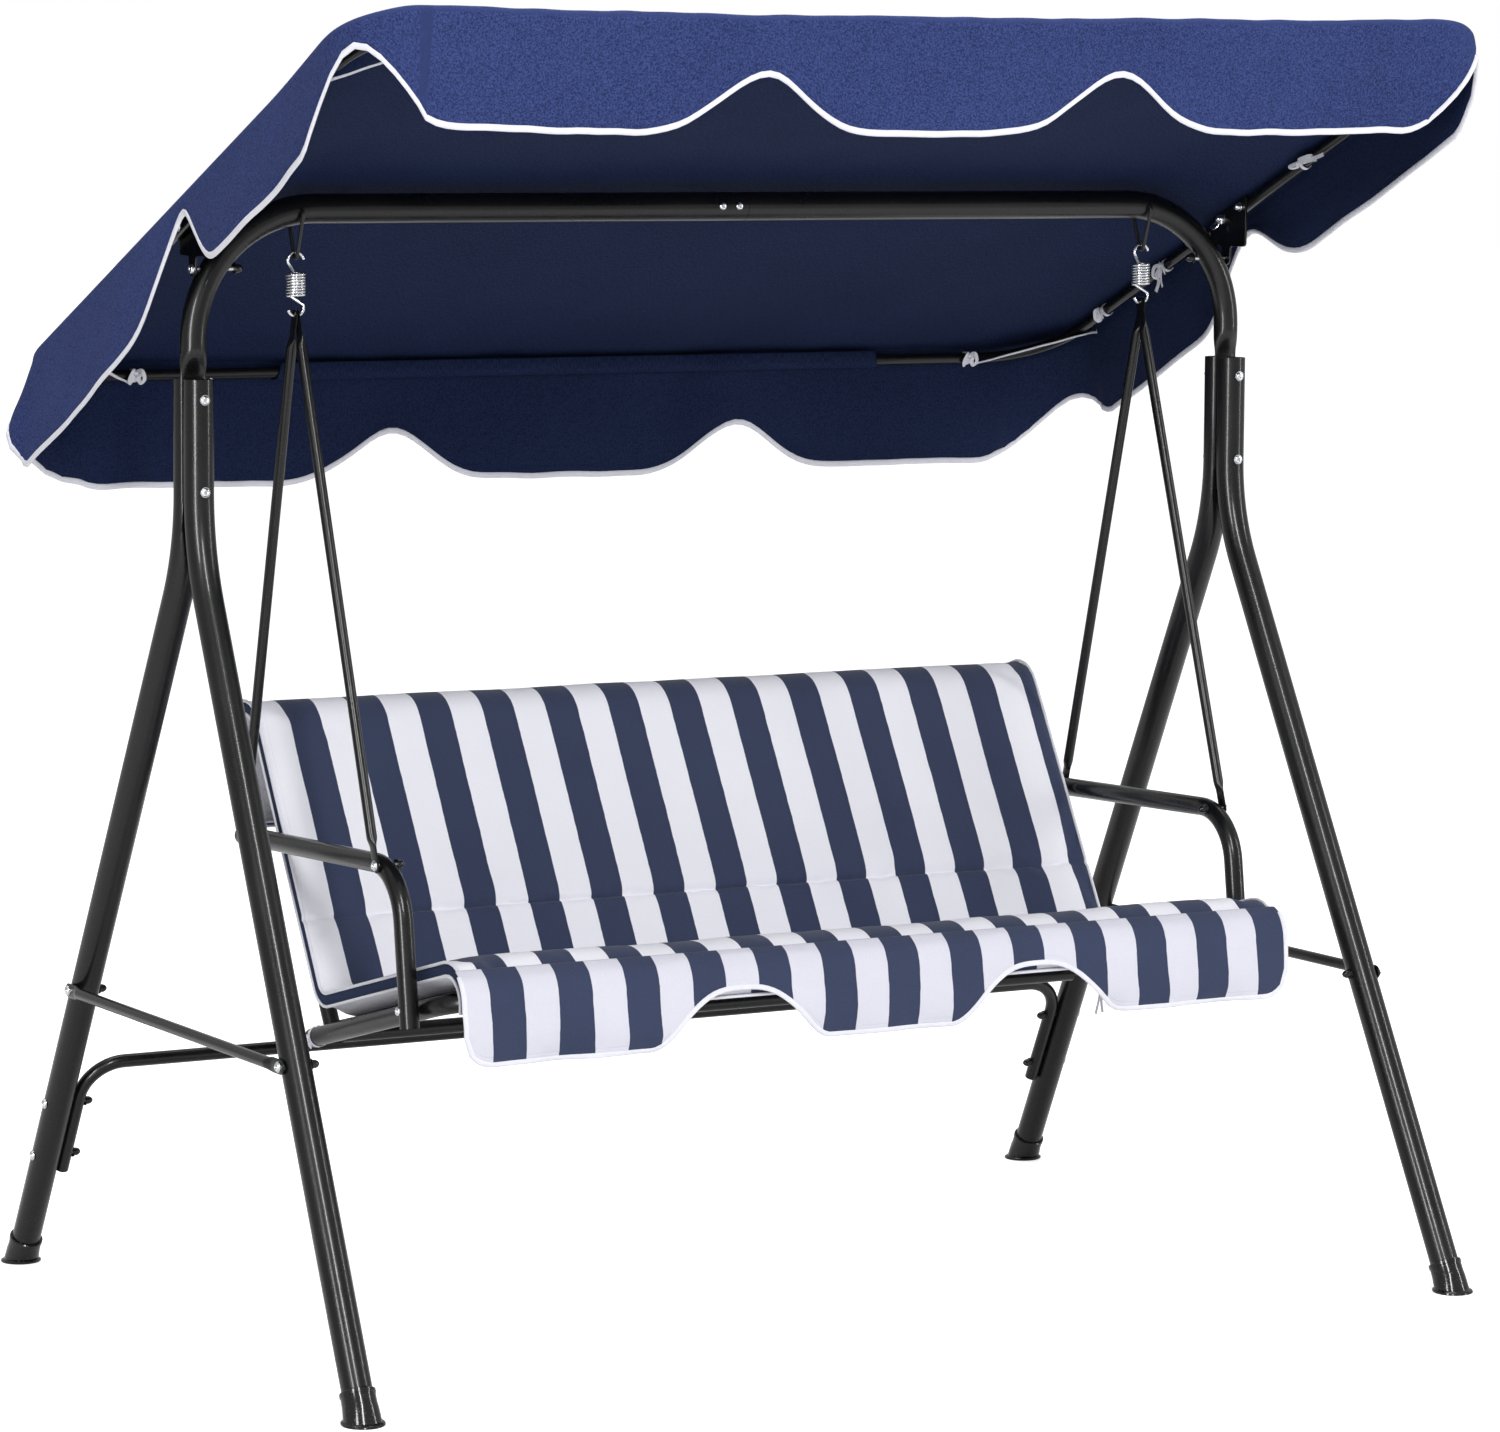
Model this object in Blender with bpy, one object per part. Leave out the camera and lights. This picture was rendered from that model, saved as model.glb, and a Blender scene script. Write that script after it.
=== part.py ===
"""Three-seat garden canopy swing bench, modelled as separate parts at real size.

Metres, +Z up. +X is to the right of somebody who stands in front of the bench and looks
at it, and -Y is the front. The origin is on the ground in the middle of the four feet.
"""
import math

import bmesh
import bpy
from mathutils import Matrix, Vector

# ---------------------------------------------------------------- driving dimensions
GAP = 0.0003                 # clearance left between touching parts
SIDES = (-1, 1)              # left, right
ENDS = (-1, 1)               # front, rear
SIDE_NAME = {-1: "left", 1: "right"}
END_NAME = {-1: "front", 1: "rear"}
BOLT_RADIUS = 0.003
BOLT_HOLE = 0.0034           # radius

# A-frame stand
FOOT_X = 0.800               # leg axis on the ground, from the middle
FOOT_Y = 0.535
LEG_RADIUS = 0.019
LEG_WALL = 0.0015
LEG_TOP_X = 0.777
LEG_TOP_Z = 1.217
LEG_CORNER_Z = 1.003         # where the sloped and upright axes of a leg meet
LEG_BEND_RADIUS = 0.30
LEG_FLAT = 0.0125            # pressed face of the leg's top, from the leg's axis
PLATE_HALF = 0.003           # half thickness of the top tube's flattened foot
LEG_TOP_Y = PLATE_HALF + GAP + LEG_FLAT
LEG_BOLT_Z = (1.192, 1.077)

CAP_FLANGE_RADIUS = 0.027
CAP_RADIUS = 0.0213
CAP_LENGTH = 0.042
CAP_FLOOR = 0.0135           # along the leg's axis, from the ground to the leg's end

# Top tube, in two halves joined by a swaged end
TOP_RADIUS = 0.019           # of the bar; the bends draw it down to the posts
POST_RADIUS = 0.0165
TAPER_RADII = (0.0185, 0.0175, 0.0168)    # between the top's bend and the posts
TOP_WALL = 0.0014
TOP_AXIS_Z = 1.428
TOP_BEND_RADIUS = 0.166
TOP_JOINT_X = 0.009
SWAGE_LENGTH = 0.063
TOP_FOOT_Z = 1.062           # lower end of the flattened foot
TOP_FOOT_HALF_WIDTH = 0.0172

# Side braces and rear crossbar
BRACE_Z = 0.400
BRACE_RADIUS = 0.0075
BRACE_WALL = 0.0012
BRACE_PLATE_HALF = 0.0022    # half thickness of a brace's flattened ends
BRACE_PLATE_LENGTH = 0.030
BRACE_OVERHANG = 0.012       # beyond the bolt
CROSSBAR_RADIUS = 0.009
CROSSBAR_Z = 0.290
CROSSBAR_END_Z = 0.136
CROSSBAR_BOLT_Z = (0.236, 0.160)
CROSSBAR_BEND_RADIUS = 0.055

# Swing suspension
HANG_X = 0.636
HOOK_WIRE = 0.0025           # wire radius
HOOK_HALF = 0.0250
HOOK_LOW_Z = 1.3688
SPRING_WIRE = 0.0019
SPRING_RADIUS = 0.011
SPRING_TURNS = 6
SPRING_TOP_Z = 1.3735        # wire centre at the top of the upper loop
SPRING_LOW_Z = 1.2935        # wire centre at the bottom of the lower loop
COIL_Z = (1.3175, 1.3485)
HANGER_RADIUS = 0.0067
HANGER_WALL = 0.0011
HANGER_PLATE_HALF = 0.0016
HANGER_EYE = 0.0095          # from a hole's middle to the bar's end
HANGER_HOLE = 0.0045
HANGER_HOLE_Z = 1.2925
HANGER_STAGGER = 0.00175     # front and rear hangers side by side on the spring's hook

# Seat frame
ARM_X = 0.618
ARM_RADIUS = 0.0125
ARM_BEND_RADIUS = 0.075
ARM_REAR = (0.205, 0.609)    # (y, z) pairs from here on
ARM_CORNER = (-0.262, 0.6235)
ARM_LOW = (-0.2885, 0.426)
ARM_FRONT_BOLT = (-0.2227, 0.6217)
ARM_REAR_BOLT = (0.172, 0.6100)
ARM_WALL = 0.0014
SPACER_RADIUS = 0.005        # of the rear bolt, between the armrest and the back frame
SEAT_RADIUS = 0.0125
SEAT_WALL = 0.0014
SEAT_CORNER_RADIUS = 0.055
SEAT_X = ARM_X - ARM_RADIUS - SEAT_RADIUS - GAP
SEAT_REAR = (0.046, 0.3629)
SEAT_FRONT = (-0.356, 0.4666)
BACK_RADIUS = 0.011
BACK_WALL = 0.0013
BACK_CORNER_RADIUS = 0.050
BACK_X = SEAT_X - SEAT_RADIUS - BACK_RADIUS - GAP
BACK_LOW = (0.0322, 0.366)
BACK_TOP = (0.2412, 0.7308)
REAR_RAIL_RADIUS = 0.010
REAR_RAIL_WALL = 0.0013
SLING = 0.003                # thickness
SEAT_SLING_HALF = 0.590      # half widths
BACK_SLING_HALF = 0.566
CUSHION = 0.038              # thickness
CUSHION_HALF_WIDTH = 0.600
CUSHION_CREASE_RADIUS = 0.035
FLAP_LENGTH = 0.105

# Seat valance
APRON_HALF_WIDTH = 0.606
APRON_TOP_Z = 0.476
APRON_LOW_Z = 0.396
APRON_ARCH_Z = 0.4655
APRON_ARCH_X = 0.218
APRON_ARCH_HALF = 0.130
APRON_CORNER = 0.035

# Canopy
CANOPY_TILT = math.radians(24.0)
CANOPY_PIVOT = (0.0, 1.354)
CANOPY_MID = (0.007, 1.407)  # the side tube's axis over the bracket
CANOPY_TUBE_RADIUS = 0.0075
CANOPY_TUBE_WALL = 0.0012
CANOPY_TUBE_X = 0.786
CANOPY_FRONT_S = -0.602      # s runs down the slope to the rear, from CANOPY_MID
CANOPY_REAR_S = 0.518
CANOPY_JOINT_S = 0.100
CANOPY_SWAGE = 0.055
CANOPY_CORNER = 0.110
BRACKET_X = 0.7750           # inner face
BRACKET_THICKNESS = 0.003
BRACKET_STEM_HALF = 0.010
BRACKET_STEM_Z = 1.366       # the stem widens from here
BRACKET_SHOULDER_Z = (1.370, 1.375)
BRACKET_FRONT_Y = -0.047
BRACKET_REAR_Y = 0.038
BRACKET_RISE = 0.009         # over the side tube's axis
PIVOT_GRIP = 0.0575          # from the bracket through the top tube's bend
CLOTH = 0.0025
COVER_HALF_WIDTH = 0.820
COVER_FRONT_S = -0.626
COVER_REAR_S = 0.532
COVER_CORNER = 0.100
COVER_LIFT = 0.0115          # of the cloth over the frame's plane
COVER_RIDGE = 0.032          # extra lift where the cloth passes over the top tube
RIDGE_REACH = 0.60           # the ridge fades out this far down either slope
FRONT_LOBE = 0.122           # depths of the valances, square to the cover
FRONT_HUMP = 0.062
FRONT_HUMP_X = (-0.270, 0.235)
REAR_LOBE = 0.138
REAR_HUMP = 0.080
REAR_HUMP_X = (-0.260, 0.283)
CORNER_DEPTH = {-1: 0.034, 1: 0.062}          # at the front and at the rear corners
SIDE_LOBE = {-1: (0.118, 0.150), 1: (0.092, 0.118)}   # front and rear lobe of each side
SIDE_HUMP_S = {-1: -0.080, 1: 0.010}
SIDE_HUMP = 0.024
HUMP_HALF_WIDTH = 0.122      # of the humps between the lobes
HUMP_ROUNDNESS = 2.4         # exponent of their round tops


# ---------------------------------------------------------------- scene and materials
def clear_scene():
    for item in list(bpy.data.objects):
        bpy.data.objects.remove(item, do_unlink=True)


def material(name, colour, roughness, metallic=0.0):
    mat = bpy.data.materials.new(name)
    mat.use_nodes = True
    shader = mat.node_tree.nodes["Principled BSDF"]
    shader.inputs["Base Color"].default_value = (*colour, 1.0)
    shader.inputs["Roughness"].default_value = roughness
    shader.inputs["Metallic"].default_value = metallic
    return mat


clear_scene()
BLACK = material("black_powder_coat", (0.012, 0.013, 0.013), 0.38, 0.2)
CAP_BLACK = material("black_cap_plastic", (0.01, 0.01, 0.01), 0.25)
ZINC = material("zinc_plated_steel", (0.72, 0.73, 0.75), 0.28, 1.0)
NAVY = material("navy_canopy_cloth", (0.022, 0.04, 0.16), 0.85)
STRIPE = material("striped_cushion_cloth", (0.75, 0.77, 0.86), 0.85)
SLING_CLOTH = material("dark_sling_cloth", (0.02, 0.022, 0.03), 0.85)
WIRE = material("black_coated_wire", (0.015, 0.015, 0.016), 0.4, 0.2)


# ---------------------------------------------------------------- mesh helpers
def make_object(name, points, faces, mat, smooth=True):
    mesh = bpy.data.meshes.new(name)
    mesh.from_pydata([tuple(p) for p in points], [], faces)
    work = bmesh.new()
    work.from_mesh(mesh)
    bmesh.ops.recalc_face_normals(work, faces=work.faces)
    work.to_mesh(mesh)
    work.free()
    mesh.materials.append(mat)
    obj = bpy.data.objects.new(name, mesh)
    bpy.context.scene.collection.objects.link(obj)
    if smooth:
        mesh.shade_smooth()
        mesh.set_sharp_from_angle(angle=math.radians(40))
    return obj


def rounded_path(corners, radius, steps=5):
    """Polyline through the corners, each inner corner replaced by an arc."""
    corners = [Vector(c) for c in corners]
    path = [corners[0]]
    for before, corner, after in zip(corners, corners[1:], corners[2:]):
        a = (before - corner).normalized()
        b = (after - corner).normalized()
        half = a.angle(b) / 2
        reach = radius / math.tan(half)
        centre = corner + (a + b).normalized() * (radius / math.sin(half))
        start = corner + a * reach - centre
        turn = math.pi - 2 * half
        axis = start.cross(corner + b * reach - centre).normalized()
        for i in range(steps + 1):
            path.append(centre + Matrix.Rotation(turn * i / steps, 3, axis) @ start)
    path.append(corners[-1])
    return path


def frames_along(path, first_side):
    """Tangent, side and up vectors at each point, carried along without twist."""
    frames = []
    side = Vector(first_side)
    for i, point in enumerate(path):
        ahead = path[min(i + 1, len(path) - 1)] - point
        behind = point - path[max(i - 1, 0)]
        tangent = (ahead.normalized() + behind.normalized()).normalized()
        side = (side - tangent * side.dot(tangent)).normalized()
        frames.append((tangent, side, tangent.cross(side)))
    return frames


def outline(half_side, half_up, count, flat=None):
    """Ellipse, cut off at -flat on the up axis when flat is given."""
    ring = []
    for i in range(count):
        angle = 2 * math.pi * (i + 0.5) / count
        up = half_up * math.sin(angle)
        if flat is not None:
            up = max(up, -flat)
        ring.append((half_side * math.cos(angle), up))
    return ring


def sweep(name, path, sections, wall, mat, first_side, count=12, loop=False):
    """Tube along the path. A section is (half_side, half_up, flat); wall 0 makes it solid."""
    frames = frames_along(path, first_side)
    points, rings = [], []

    def add_ring(index, inset):
        half_side, half_up, flat = sections[index]
        cut = None if flat is None else flat - inset
        _, side, up = frames[index]
        start = len(points)
        for u, v in outline(half_side - inset, half_up - inset, count, cut):
            points.append(path[index] + side * u + up * v)
        rings.append(list(range(start, start + count)))

    for i in range(len(path)):
        add_ring(i, 0.0)
    if wall:
        for i in reversed(range(len(path))):
            add_ring(i, wall)
    faces = []
    closed = loop or bool(wall)
    pairs = list(zip(rings, rings[1:])) + ([(rings[-1], rings[0])] if closed else [])
    for one, two in pairs:
        for k in range(count):
            n = (k + 1) % count
            faces.append((one[k], one[n], two[n], two[k]))
    if not closed:
        faces.append(tuple(reversed(rings[0])))
        faces.append(tuple(rings[-1]))
    return make_object(name, points, faces, mat)


def along(path, distance):
    """Point at a distance from the path's start, on its first straight run."""
    return path[0] + (path[1] - path[0]).normalized() * distance


def tube(name, path, radius, wall, mat, first_side, count=12, flat_ends=()):
    """Round tube; flat_ends lists (end, length, half_thickness) with end 0 or -1."""
    path = [Vector(p) for p in path]
    sections = [(radius, radius, None)] * len(path)
    for end, length, thin in flat_ends:
        taper = length + 2.4 * radius
        wide = radius * 1.28
        work = path if end == 0 else path[::-1]
        shape = sections if end == 0 else sections[::-1]
        work = [work[0], along(work, length), along(work, taper)] + work[1:]
        shape = [(thin, wide, None), (thin, wide, None)] + [(radius, radius, None)] + shape[1:]
        path = work if end == 0 else work[::-1]
        sections = shape if end == 0 else shape[::-1]
    return sweep(name, path, sections, wall, mat, first_side, count)


def turned(name, base, axis, profile, mat, count=8):
    """Solid of revolution; profile is (distance along the axis, radius)."""
    axis = Vector(axis).normalized()
    side = axis.orthogonal().normalized()
    up = axis.cross(side)
    points, faces = [], []
    for distance, radius in profile:
        for k in range(count):
            angle = 2 * math.pi * k / count
            spoke = side * math.cos(angle) + up * math.sin(angle)
            points.append(Vector(base) + axis * distance + spoke * radius)
    for i in range(len(profile) - 1):
        for k in range(count):
            n = (k + 1) % count
            low, high = i * count, (i + 1) * count
            faces.append((low + k, low + n, high + n, high + k))
    faces.append(tuple(reversed(range(count))))
    faces.append(tuple(range(len(points) - count, len(points))))
    return make_object(name, points, faces, mat)


def bore(parts, centre, axis, radius, length):
    """Drill a round hole through every part in the list."""
    axis = Vector(axis).normalized()
    start = Vector(centre) - axis * length / 2
    name = "cutter_" + parts[0].name
    cutter = turned(name, start, axis, [(0, radius), (length, radius)], BLACK, 8)
    cutter.hide_render = True
    cutter.display_type = "WIRE"
    for part in parts:
        cut = part.modifiers.new("bore", "BOOLEAN")
        cut.operation = "DIFFERENCE"
        cut.solver = "EXACT"
        cut.object = cutter


def bolt(name, head_face, axis, grip, collar=None):
    """Button-head bolt with its cap nut: head_face is the point under the head."""
    shank, head, nut = BOLT_RADIUS, BOLT_RADIUS * 1.9, BOLT_RADIUS * 1.75
    profile = [(-0.0036, head * 0.45), (-0.0024, head * 0.85), (-GAP, head), (-GAP, shank)]
    if collar:
        start, end, radius = collar
        profile += [(start, shank), (start, radius), (end, radius), (end, shank)]
    profile += [(grip + GAP, shank), (grip + GAP, nut), (grip + 0.0075, nut)]
    profile += [(grip + 0.0115, nut * 0.55)]
    return turned(name, head_face, axis, profile, ZINC)


def sheet_solid(name, grid, thickness, mat):
    """Closed cloth panel from a grid of points, thickened evenly about the grid."""
    rows, columns = len(grid), len(grid[0])
    points = [p for row in grid for p in row]
    faces = []
    for i in range(rows - 1):
        for k in range(columns - 1):
            at = i * columns + k
            faces.append((at, at + 1, at + columns + 1, at + columns))
    obj = make_object(name, points, faces, mat)
    solid = obj.modifiers.new("thickness", "SOLIDIFY")
    solid.thickness = thickness
    solid.offset = 0.0
    solid.use_even_offset = False
    return obj


def swept_strip(name, centre_line, half_thickness, half_width, mat):
    """Padded strip: a YZ centre line thickened both ways and spread along X."""
    count = len(centre_line)
    points, faces = [], []
    for i, (y, z) in enumerate(centre_line):
        ahead = Vector(centre_line[min(i + 1, count - 1)])
        behind = Vector(centre_line[max(i - 1, 0)])
        run = (ahead - behind).normalized()
        normal = Vector((-run.y, run.x)) * half_thickness
        for x in (-half_width, half_width):
            points.append((x, y + normal.x, z + normal.y))
            points.append((x, y - normal.x, z - normal.y))
    for i in range(count - 1):
        a, b = 4 * i, 4 * i + 4
        for p, q in ((0, 1), (1, 3), (3, 2), (2, 0)):
            faces.append((a + p, a + q, b + q, b + p))
    faces.append((0, 2, 3, 1))
    faces.append((4 * count - 4, 4 * count - 3, 4 * count - 1, 4 * count - 2))
    return make_object(name, points, faces, mat)


def smooth_step(value):
    value = min(max(value, 0.0), 1.0)
    return value * value * (3 - 2 * value)


def round_rise(away):
    """1 at 0 with a round top, falling to 0 at 1 and beyond."""
    return (1 - min(away, 1.0) ** HUMP_ROUNDNESS) ** 2


# ---------------------------------------------------------------- stand
def leg_slope():
    return (FOOT_Y - LEG_TOP_Y) / LEG_CORNER_Z


def leg_axis(side, end, z):
    """Point on a leg's sloped axis; end is -1 at the front and 1 at the rear."""
    x = LEG_TOP_X + (FOOT_X - LEG_TOP_X) * (1 - z / LEG_CORNER_Z)
    return Vector((side * x, end * (FOOT_Y - leg_slope() * z), z))


def make_leg(side, end):
    ground = leg_axis(side, end, 0.0)
    corner = Vector((side * LEG_TOP_X, end * LEG_TOP_Y, LEG_CORNER_Z))
    up = (corner - ground).normalized()
    start = ground + up * (CAP_FLOOR + GAP)
    top = Vector((side * LEG_TOP_X, end * LEG_TOP_Y, LEG_TOP_Z))
    path = rounded_path([start, corner, top], LEG_BEND_RADIUS, 4)
    round_section = (LEG_RADIUS, LEG_RADIUS, None)
    flat_section = (LEG_RADIUS, LEG_RADIUS, LEG_FLAT)
    sections = [round_section] * (len(path) - 4) + [flat_section] * 4
    side_vector = (-1, 0, 0) if end < 0 else (1, 0, 0)
    name = END_NAME[end] + "_leg_" + SIDE_NAME[side]
    return sweep(name, path, sections, LEG_WALL, BLACK, side_vector, 14)


def make_foot_cap(side, end):
    """Plastic cup on the leg's end, with a flat round flange on the ground."""
    ground = leg_axis(side, end, 0.0)
    up = (leg_axis(side, end, 0.5) - ground).normalized()
    across = up.orthogonal().normalized()
    other = up.cross(across)
    count = 16
    inner = (LEG_RADIUS + GAP) / math.cos(math.pi / count)
    points = []

    def level_ring(height, radius):
        centre = ground + up * (height / up.z)
        for k in range(count):
            angle = 2 * math.pi * k / count
            spoke = across * math.cos(angle) + other * math.sin(angle)
            flat = Vector((spoke.x, spoke.y, 0)).normalized()
            points.append(centre + flat * radius)

    def tilted_ring(distance, radius):
        for k in range(count):
            angle = 2 * math.pi * k / count
            spoke = across * math.cos(angle) + other * math.sin(angle)
            points.append(ground + up * distance + spoke * radius)

    level_ring(0.0, CAP_FLANGE_RADIUS)
    level_ring(0.0025, CAP_FLANGE_RADIUS)
    level_ring(0.0040, CAP_FLANGE_RADIUS - 0.003)
    tilted_ring(0.0175, CAP_RADIUS + 0.0006)
    tilted_ring(CAP_LENGTH - 0.002, CAP_RADIUS)
    tilted_ring(CAP_LENGTH, CAP_RADIUS - 0.001)
    tilted_ring(CAP_LENGTH, inner)
    tilted_ring(CAP_FLOOR, inner)
    faces = []
    for i in range(7):
        for k in range(count):
            n = (k + 1) % count
            faces.append((i * count + k, i * count + n, (i + 1) * count + n, (i + 1) * count + k))
    faces.append(tuple(reversed(range(count))))
    faces.append(tuple(range(7 * count, 8 * count)))
    name = END_NAME[end] + "_foot_cap_" + SIDE_NAME[side]
    return make_object(name, points, faces, CAP_BLACK)


def make_top_tube(side):
    """Half of the top tube: bar, bend, post and flattened foot."""
    joint = TOP_JOINT_X + side * GAP
    radii = [TOP_RADIUS] * 2 + list(TAPER_RADII) + [POST_RADIUS] * 4
    round_part = [(radius, radius, None) for radius in radii]
    foot = (PLATE_HALF, TOP_FOOT_HALF_WIDTH, None)
    corner = (side * LEG_TOP_X, 0, TOP_AXIS_Z)
    low = (side * LEG_TOP_X, 0, TOP_FOOT_Z)
    path = rounded_path([(joint, 0, TOP_AXIS_Z), corner, low], TOP_BEND_RADIUS, 6)
    path[-1:] = [Vector((side * LEG_TOP_X, 0, z)) for z in (1.254, 1.238, 1.224, TOP_FOOT_Z)]
    sections = round_part + [(0.0085, 0.0178, None), foot, foot]
    if side > 0:
        swage = TOP_RADIUS - TOP_WALL - GAP
        neck = (swage, swage, None)
        start = TOP_JOINT_X - SWAGE_LENGTH
        path = [Vector((x, 0, TOP_AXIS_Z)) for x in (start, TOP_JOINT_X)] + path
        sections = [neck, neck] + sections
    name = "top_tube_" + SIDE_NAME[side]
    return sweep(name, path, sections, TOP_WALL, BLACK, (0, 1, 0), 12)


def make_side_brace(side):
    leg = leg_axis(side, 1, BRACE_Z)
    x = abs(leg.x) + LEG_RADIUS + GAP + BRACE_PLATE_HALF
    reach = leg.y + BRACE_OVERHANG
    path = [(side * x, -reach, BRACE_Z), (side * x, reach, BRACE_Z)]
    flats = [(end, BRACE_PLATE_LENGTH, BRACE_PLATE_HALF) for end in (0, -1)]
    name = "side_brace_" + SIDE_NAME[side]
    return tube(name, path, BRACE_RADIUS, BRACE_WALL, BLACK, (1, 0, 0), 8, flats)


def make_crossbar():
    """Bar across the rear legs whose ends turn down along the legs' inner sides."""
    inward = LEG_RADIUS + GAP + CROSSBAR_RADIUS
    low, high = leg_axis(1, 1, CROSSBAR_END_Z), leg_axis(1, 1, CROSSBAR_Z)
    x_low, x_high = low.x - inward, high.x - inward
    corners = [(-x_low, low.y, low.z), (-x_high, high.y, high.z),
               (x_high, high.y, high.z), (x_low, low.y, low.z)]
    path = rounded_path(corners, CROSSBAR_BEND_RADIUS, 4)
    return tube("rear_crossbar", path, CROSSBAR_RADIUS, BRACE_WALL, BLACK, (0, 1, 0), 8)


def make_stand():
    legs = {(s, e): make_leg(s, e) for s in SIDES for e in ENDS}
    for side in SIDES:
        for end in ENDS:
            make_foot_cap(side, end)
    tops = {side: make_top_tube(side) for side in SIDES}
    braces = {side: make_side_brace(side) for side in SIDES}
    crossbar = make_crossbar()
    for side in SIDES:
        fasten_leg_tops(side, legs, tops[side])
        fasten_brace(side, legs, braces[side])
        fasten_crossbar(side, legs[side, 1], crossbar)
    return tops


def fasten_leg_tops(side, legs, top):
    outer = LEG_TOP_Y + LEG_RADIUS + 0.0006
    for label, z in zip(("upper", "lower"), LEG_BOLT_Z):
        centre = (side * LEG_TOP_X, 0, z)
        bore([legs[side, -1], legs[side, 1], top], centre, (0, 1, 0), BOLT_HOLE, 0.12)
        name = "leg_bolt_" + label + "_" + SIDE_NAME[side]
        bolt(name, (centre[0], -outer, z), (0, 1, 0), 2 * outer)


def fasten_brace(side, legs, brace):
    for end in ENDS:
        centre = leg_axis(side, end, BRACE_Z)
        outward = Vector((side, 0, 0))
        bore([legs[side, end], brace], centre, (1, 0, 0), BOLT_HOLE, 0.07)
        head = centre + outward * (LEG_RADIUS + 2 * BRACE_PLATE_HALF + 2 * GAP)
        grip = 2 * LEG_RADIUS + 2 * BRACE_PLATE_HALF + 3 * GAP
        name = "brace_bolt_" + END_NAME[end] + "_" + SIDE_NAME[side]
        bolt(name, head, -outward, grip)


def fasten_crossbar(side, leg, crossbar):
    for label, z in zip(("upper", "lower"), CROSSBAR_BOLT_Z):
        centre = leg_axis(side, 1, z)
        outward = Vector((side, 0, 0))
        bore([leg, crossbar], centre, (1, 0, 0), BOLT_HOLE, 0.11)
        head = centre + outward * (LEG_RADIUS + 0.0002)
        grip = 2 * LEG_RADIUS + 2 * CROSSBAR_RADIUS + 3 * GAP
        bolt("crossbar_bolt_" + label + "_" + SIDE_NAME[side], head, -outward, grip)


# ---------------------------------------------------------------- suspension
def top_tube_z(x):
    """Height of the top tube's axis at a distance x from the middle."""
    into_bend = abs(x) - (LEG_TOP_X - TOP_BEND_RADIUS)
    if into_bend <= 0:
        return TOP_AXIS_Z
    return TOP_AXIS_Z - TOP_BEND_RADIUS + math.sqrt(TOP_BEND_RADIUS**2 - into_bend**2)


def make_hook(side, top):
    """Closed wire V through the top tube, which carries a spring at its point."""
    high = top_tube_z(HANG_X)
    half = HOOK_HALF
    corners = [(-half * 0.5, high), (half, high), (0, HOOK_LOW_Z - 0.0130), (-half, high)]
    closed = [Vector((side * HANG_X, y, z)) for y, z in corners]
    path = rounded_path(closed + [closed[0]], 0.0052, 4)
    sections = [(HOOK_WIRE, HOOK_WIRE, None)] * (len(path) - 1)
    name = "wire_hook_" + SIDE_NAME[side]
    sweep(name, path[:-1], sections, 0.0, WIRE, (1, 0, 0), 8, loop=True)
    bore([top], (side * HANG_X, 0, high), (0, 1, 0), HOOK_WIRE + 0.0004, 0.06)


def make_spring(side):
    x = side * HANG_X
    low, high = COIL_Z
    radius = SPRING_RADIUS
    path = []
    for i in range(10):
        angle = math.radians(210 + 150 * i / 9)
        z = SPRING_LOW_Z + radius + radius * math.sin(angle)
        path.append(Vector((x + radius * math.cos(angle), 0, z)))
    path.append(Vector((x + radius, 0.0006, (SPRING_LOW_Z + radius + low) / 2 + 0.002)))
    steps = SPRING_TURNS * 8 + 4
    for i in range(1, steps):
        angle = 2 * math.pi * i / 8
        z = low + (high - low) * i / steps
        path.append(Vector((x + radius * math.cos(angle), radius * math.sin(angle), z)))
    path.append(Vector((x - radius, -0.0006, (SPRING_TOP_Z - radius + high) / 2 - 0.002)))
    for i in range(10):
        angle = math.radians(180 - 150 * i / 9)
        z = SPRING_TOP_Z - radius + radius * math.sin(angle)
        path.append(Vector((x + radius * math.cos(angle), 0, z)))
    sections = [(SPRING_WIRE, SPRING_WIRE, None)] * len(path)
    sweep("spring_" + SIDE_NAME[side], path, sections, 0.0, ZINC, (0, 1, 0), 5)


def make_hanger(side, end):
    """Round bar with flattened ends, from the spring's lower hook to the armrest."""
    y, z = ARM_FRONT_BOLT if end < 0 else ARM_REAR_BOLT
    low_x = ARM_X + ARM_RADIUS + GAP + HANGER_PLATE_HALF
    hole_top = Vector((side * (HANG_X + end * HANGER_STAGGER), 0, HANGER_HOLE_Z))
    hole_low = Vector((side * low_x, y, z))
    run = (hole_low - hole_top).normalized()
    path = [hole_top - run * HANGER_EYE, hole_low + run * HANGER_EYE]
    name = END_NAME[end] + "_hanger_" + SIDE_NAME[side]
    flats = [(0, 0.034, HANGER_PLATE_HALF), (-1, 0.030, HANGER_PLATE_HALF)]
    part = tube(name, path, HANGER_RADIUS, HANGER_WALL, BLACK, (1, 0, 0), 8, flats)
    bore([part], hole_top, (1, 0, 0), HANGER_HOLE, 0.014)
    return part


# ---------------------------------------------------------------- seat
def in_plane(side, x, pairs):
    return [Vector((side * x, y, z)) for y, z in pairs]


def make_armrest(side):
    path = rounded_path(in_plane(side, ARM_X, [ARM_REAR, ARM_CORNER, ARM_LOW]),
                        ARM_BEND_RADIUS, 5)
    name = "armrest_" + SIDE_NAME[side]
    return tube(name, path, ARM_RADIUS, ARM_WALL, BLACK, (1, 0, 0), 12)


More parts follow.
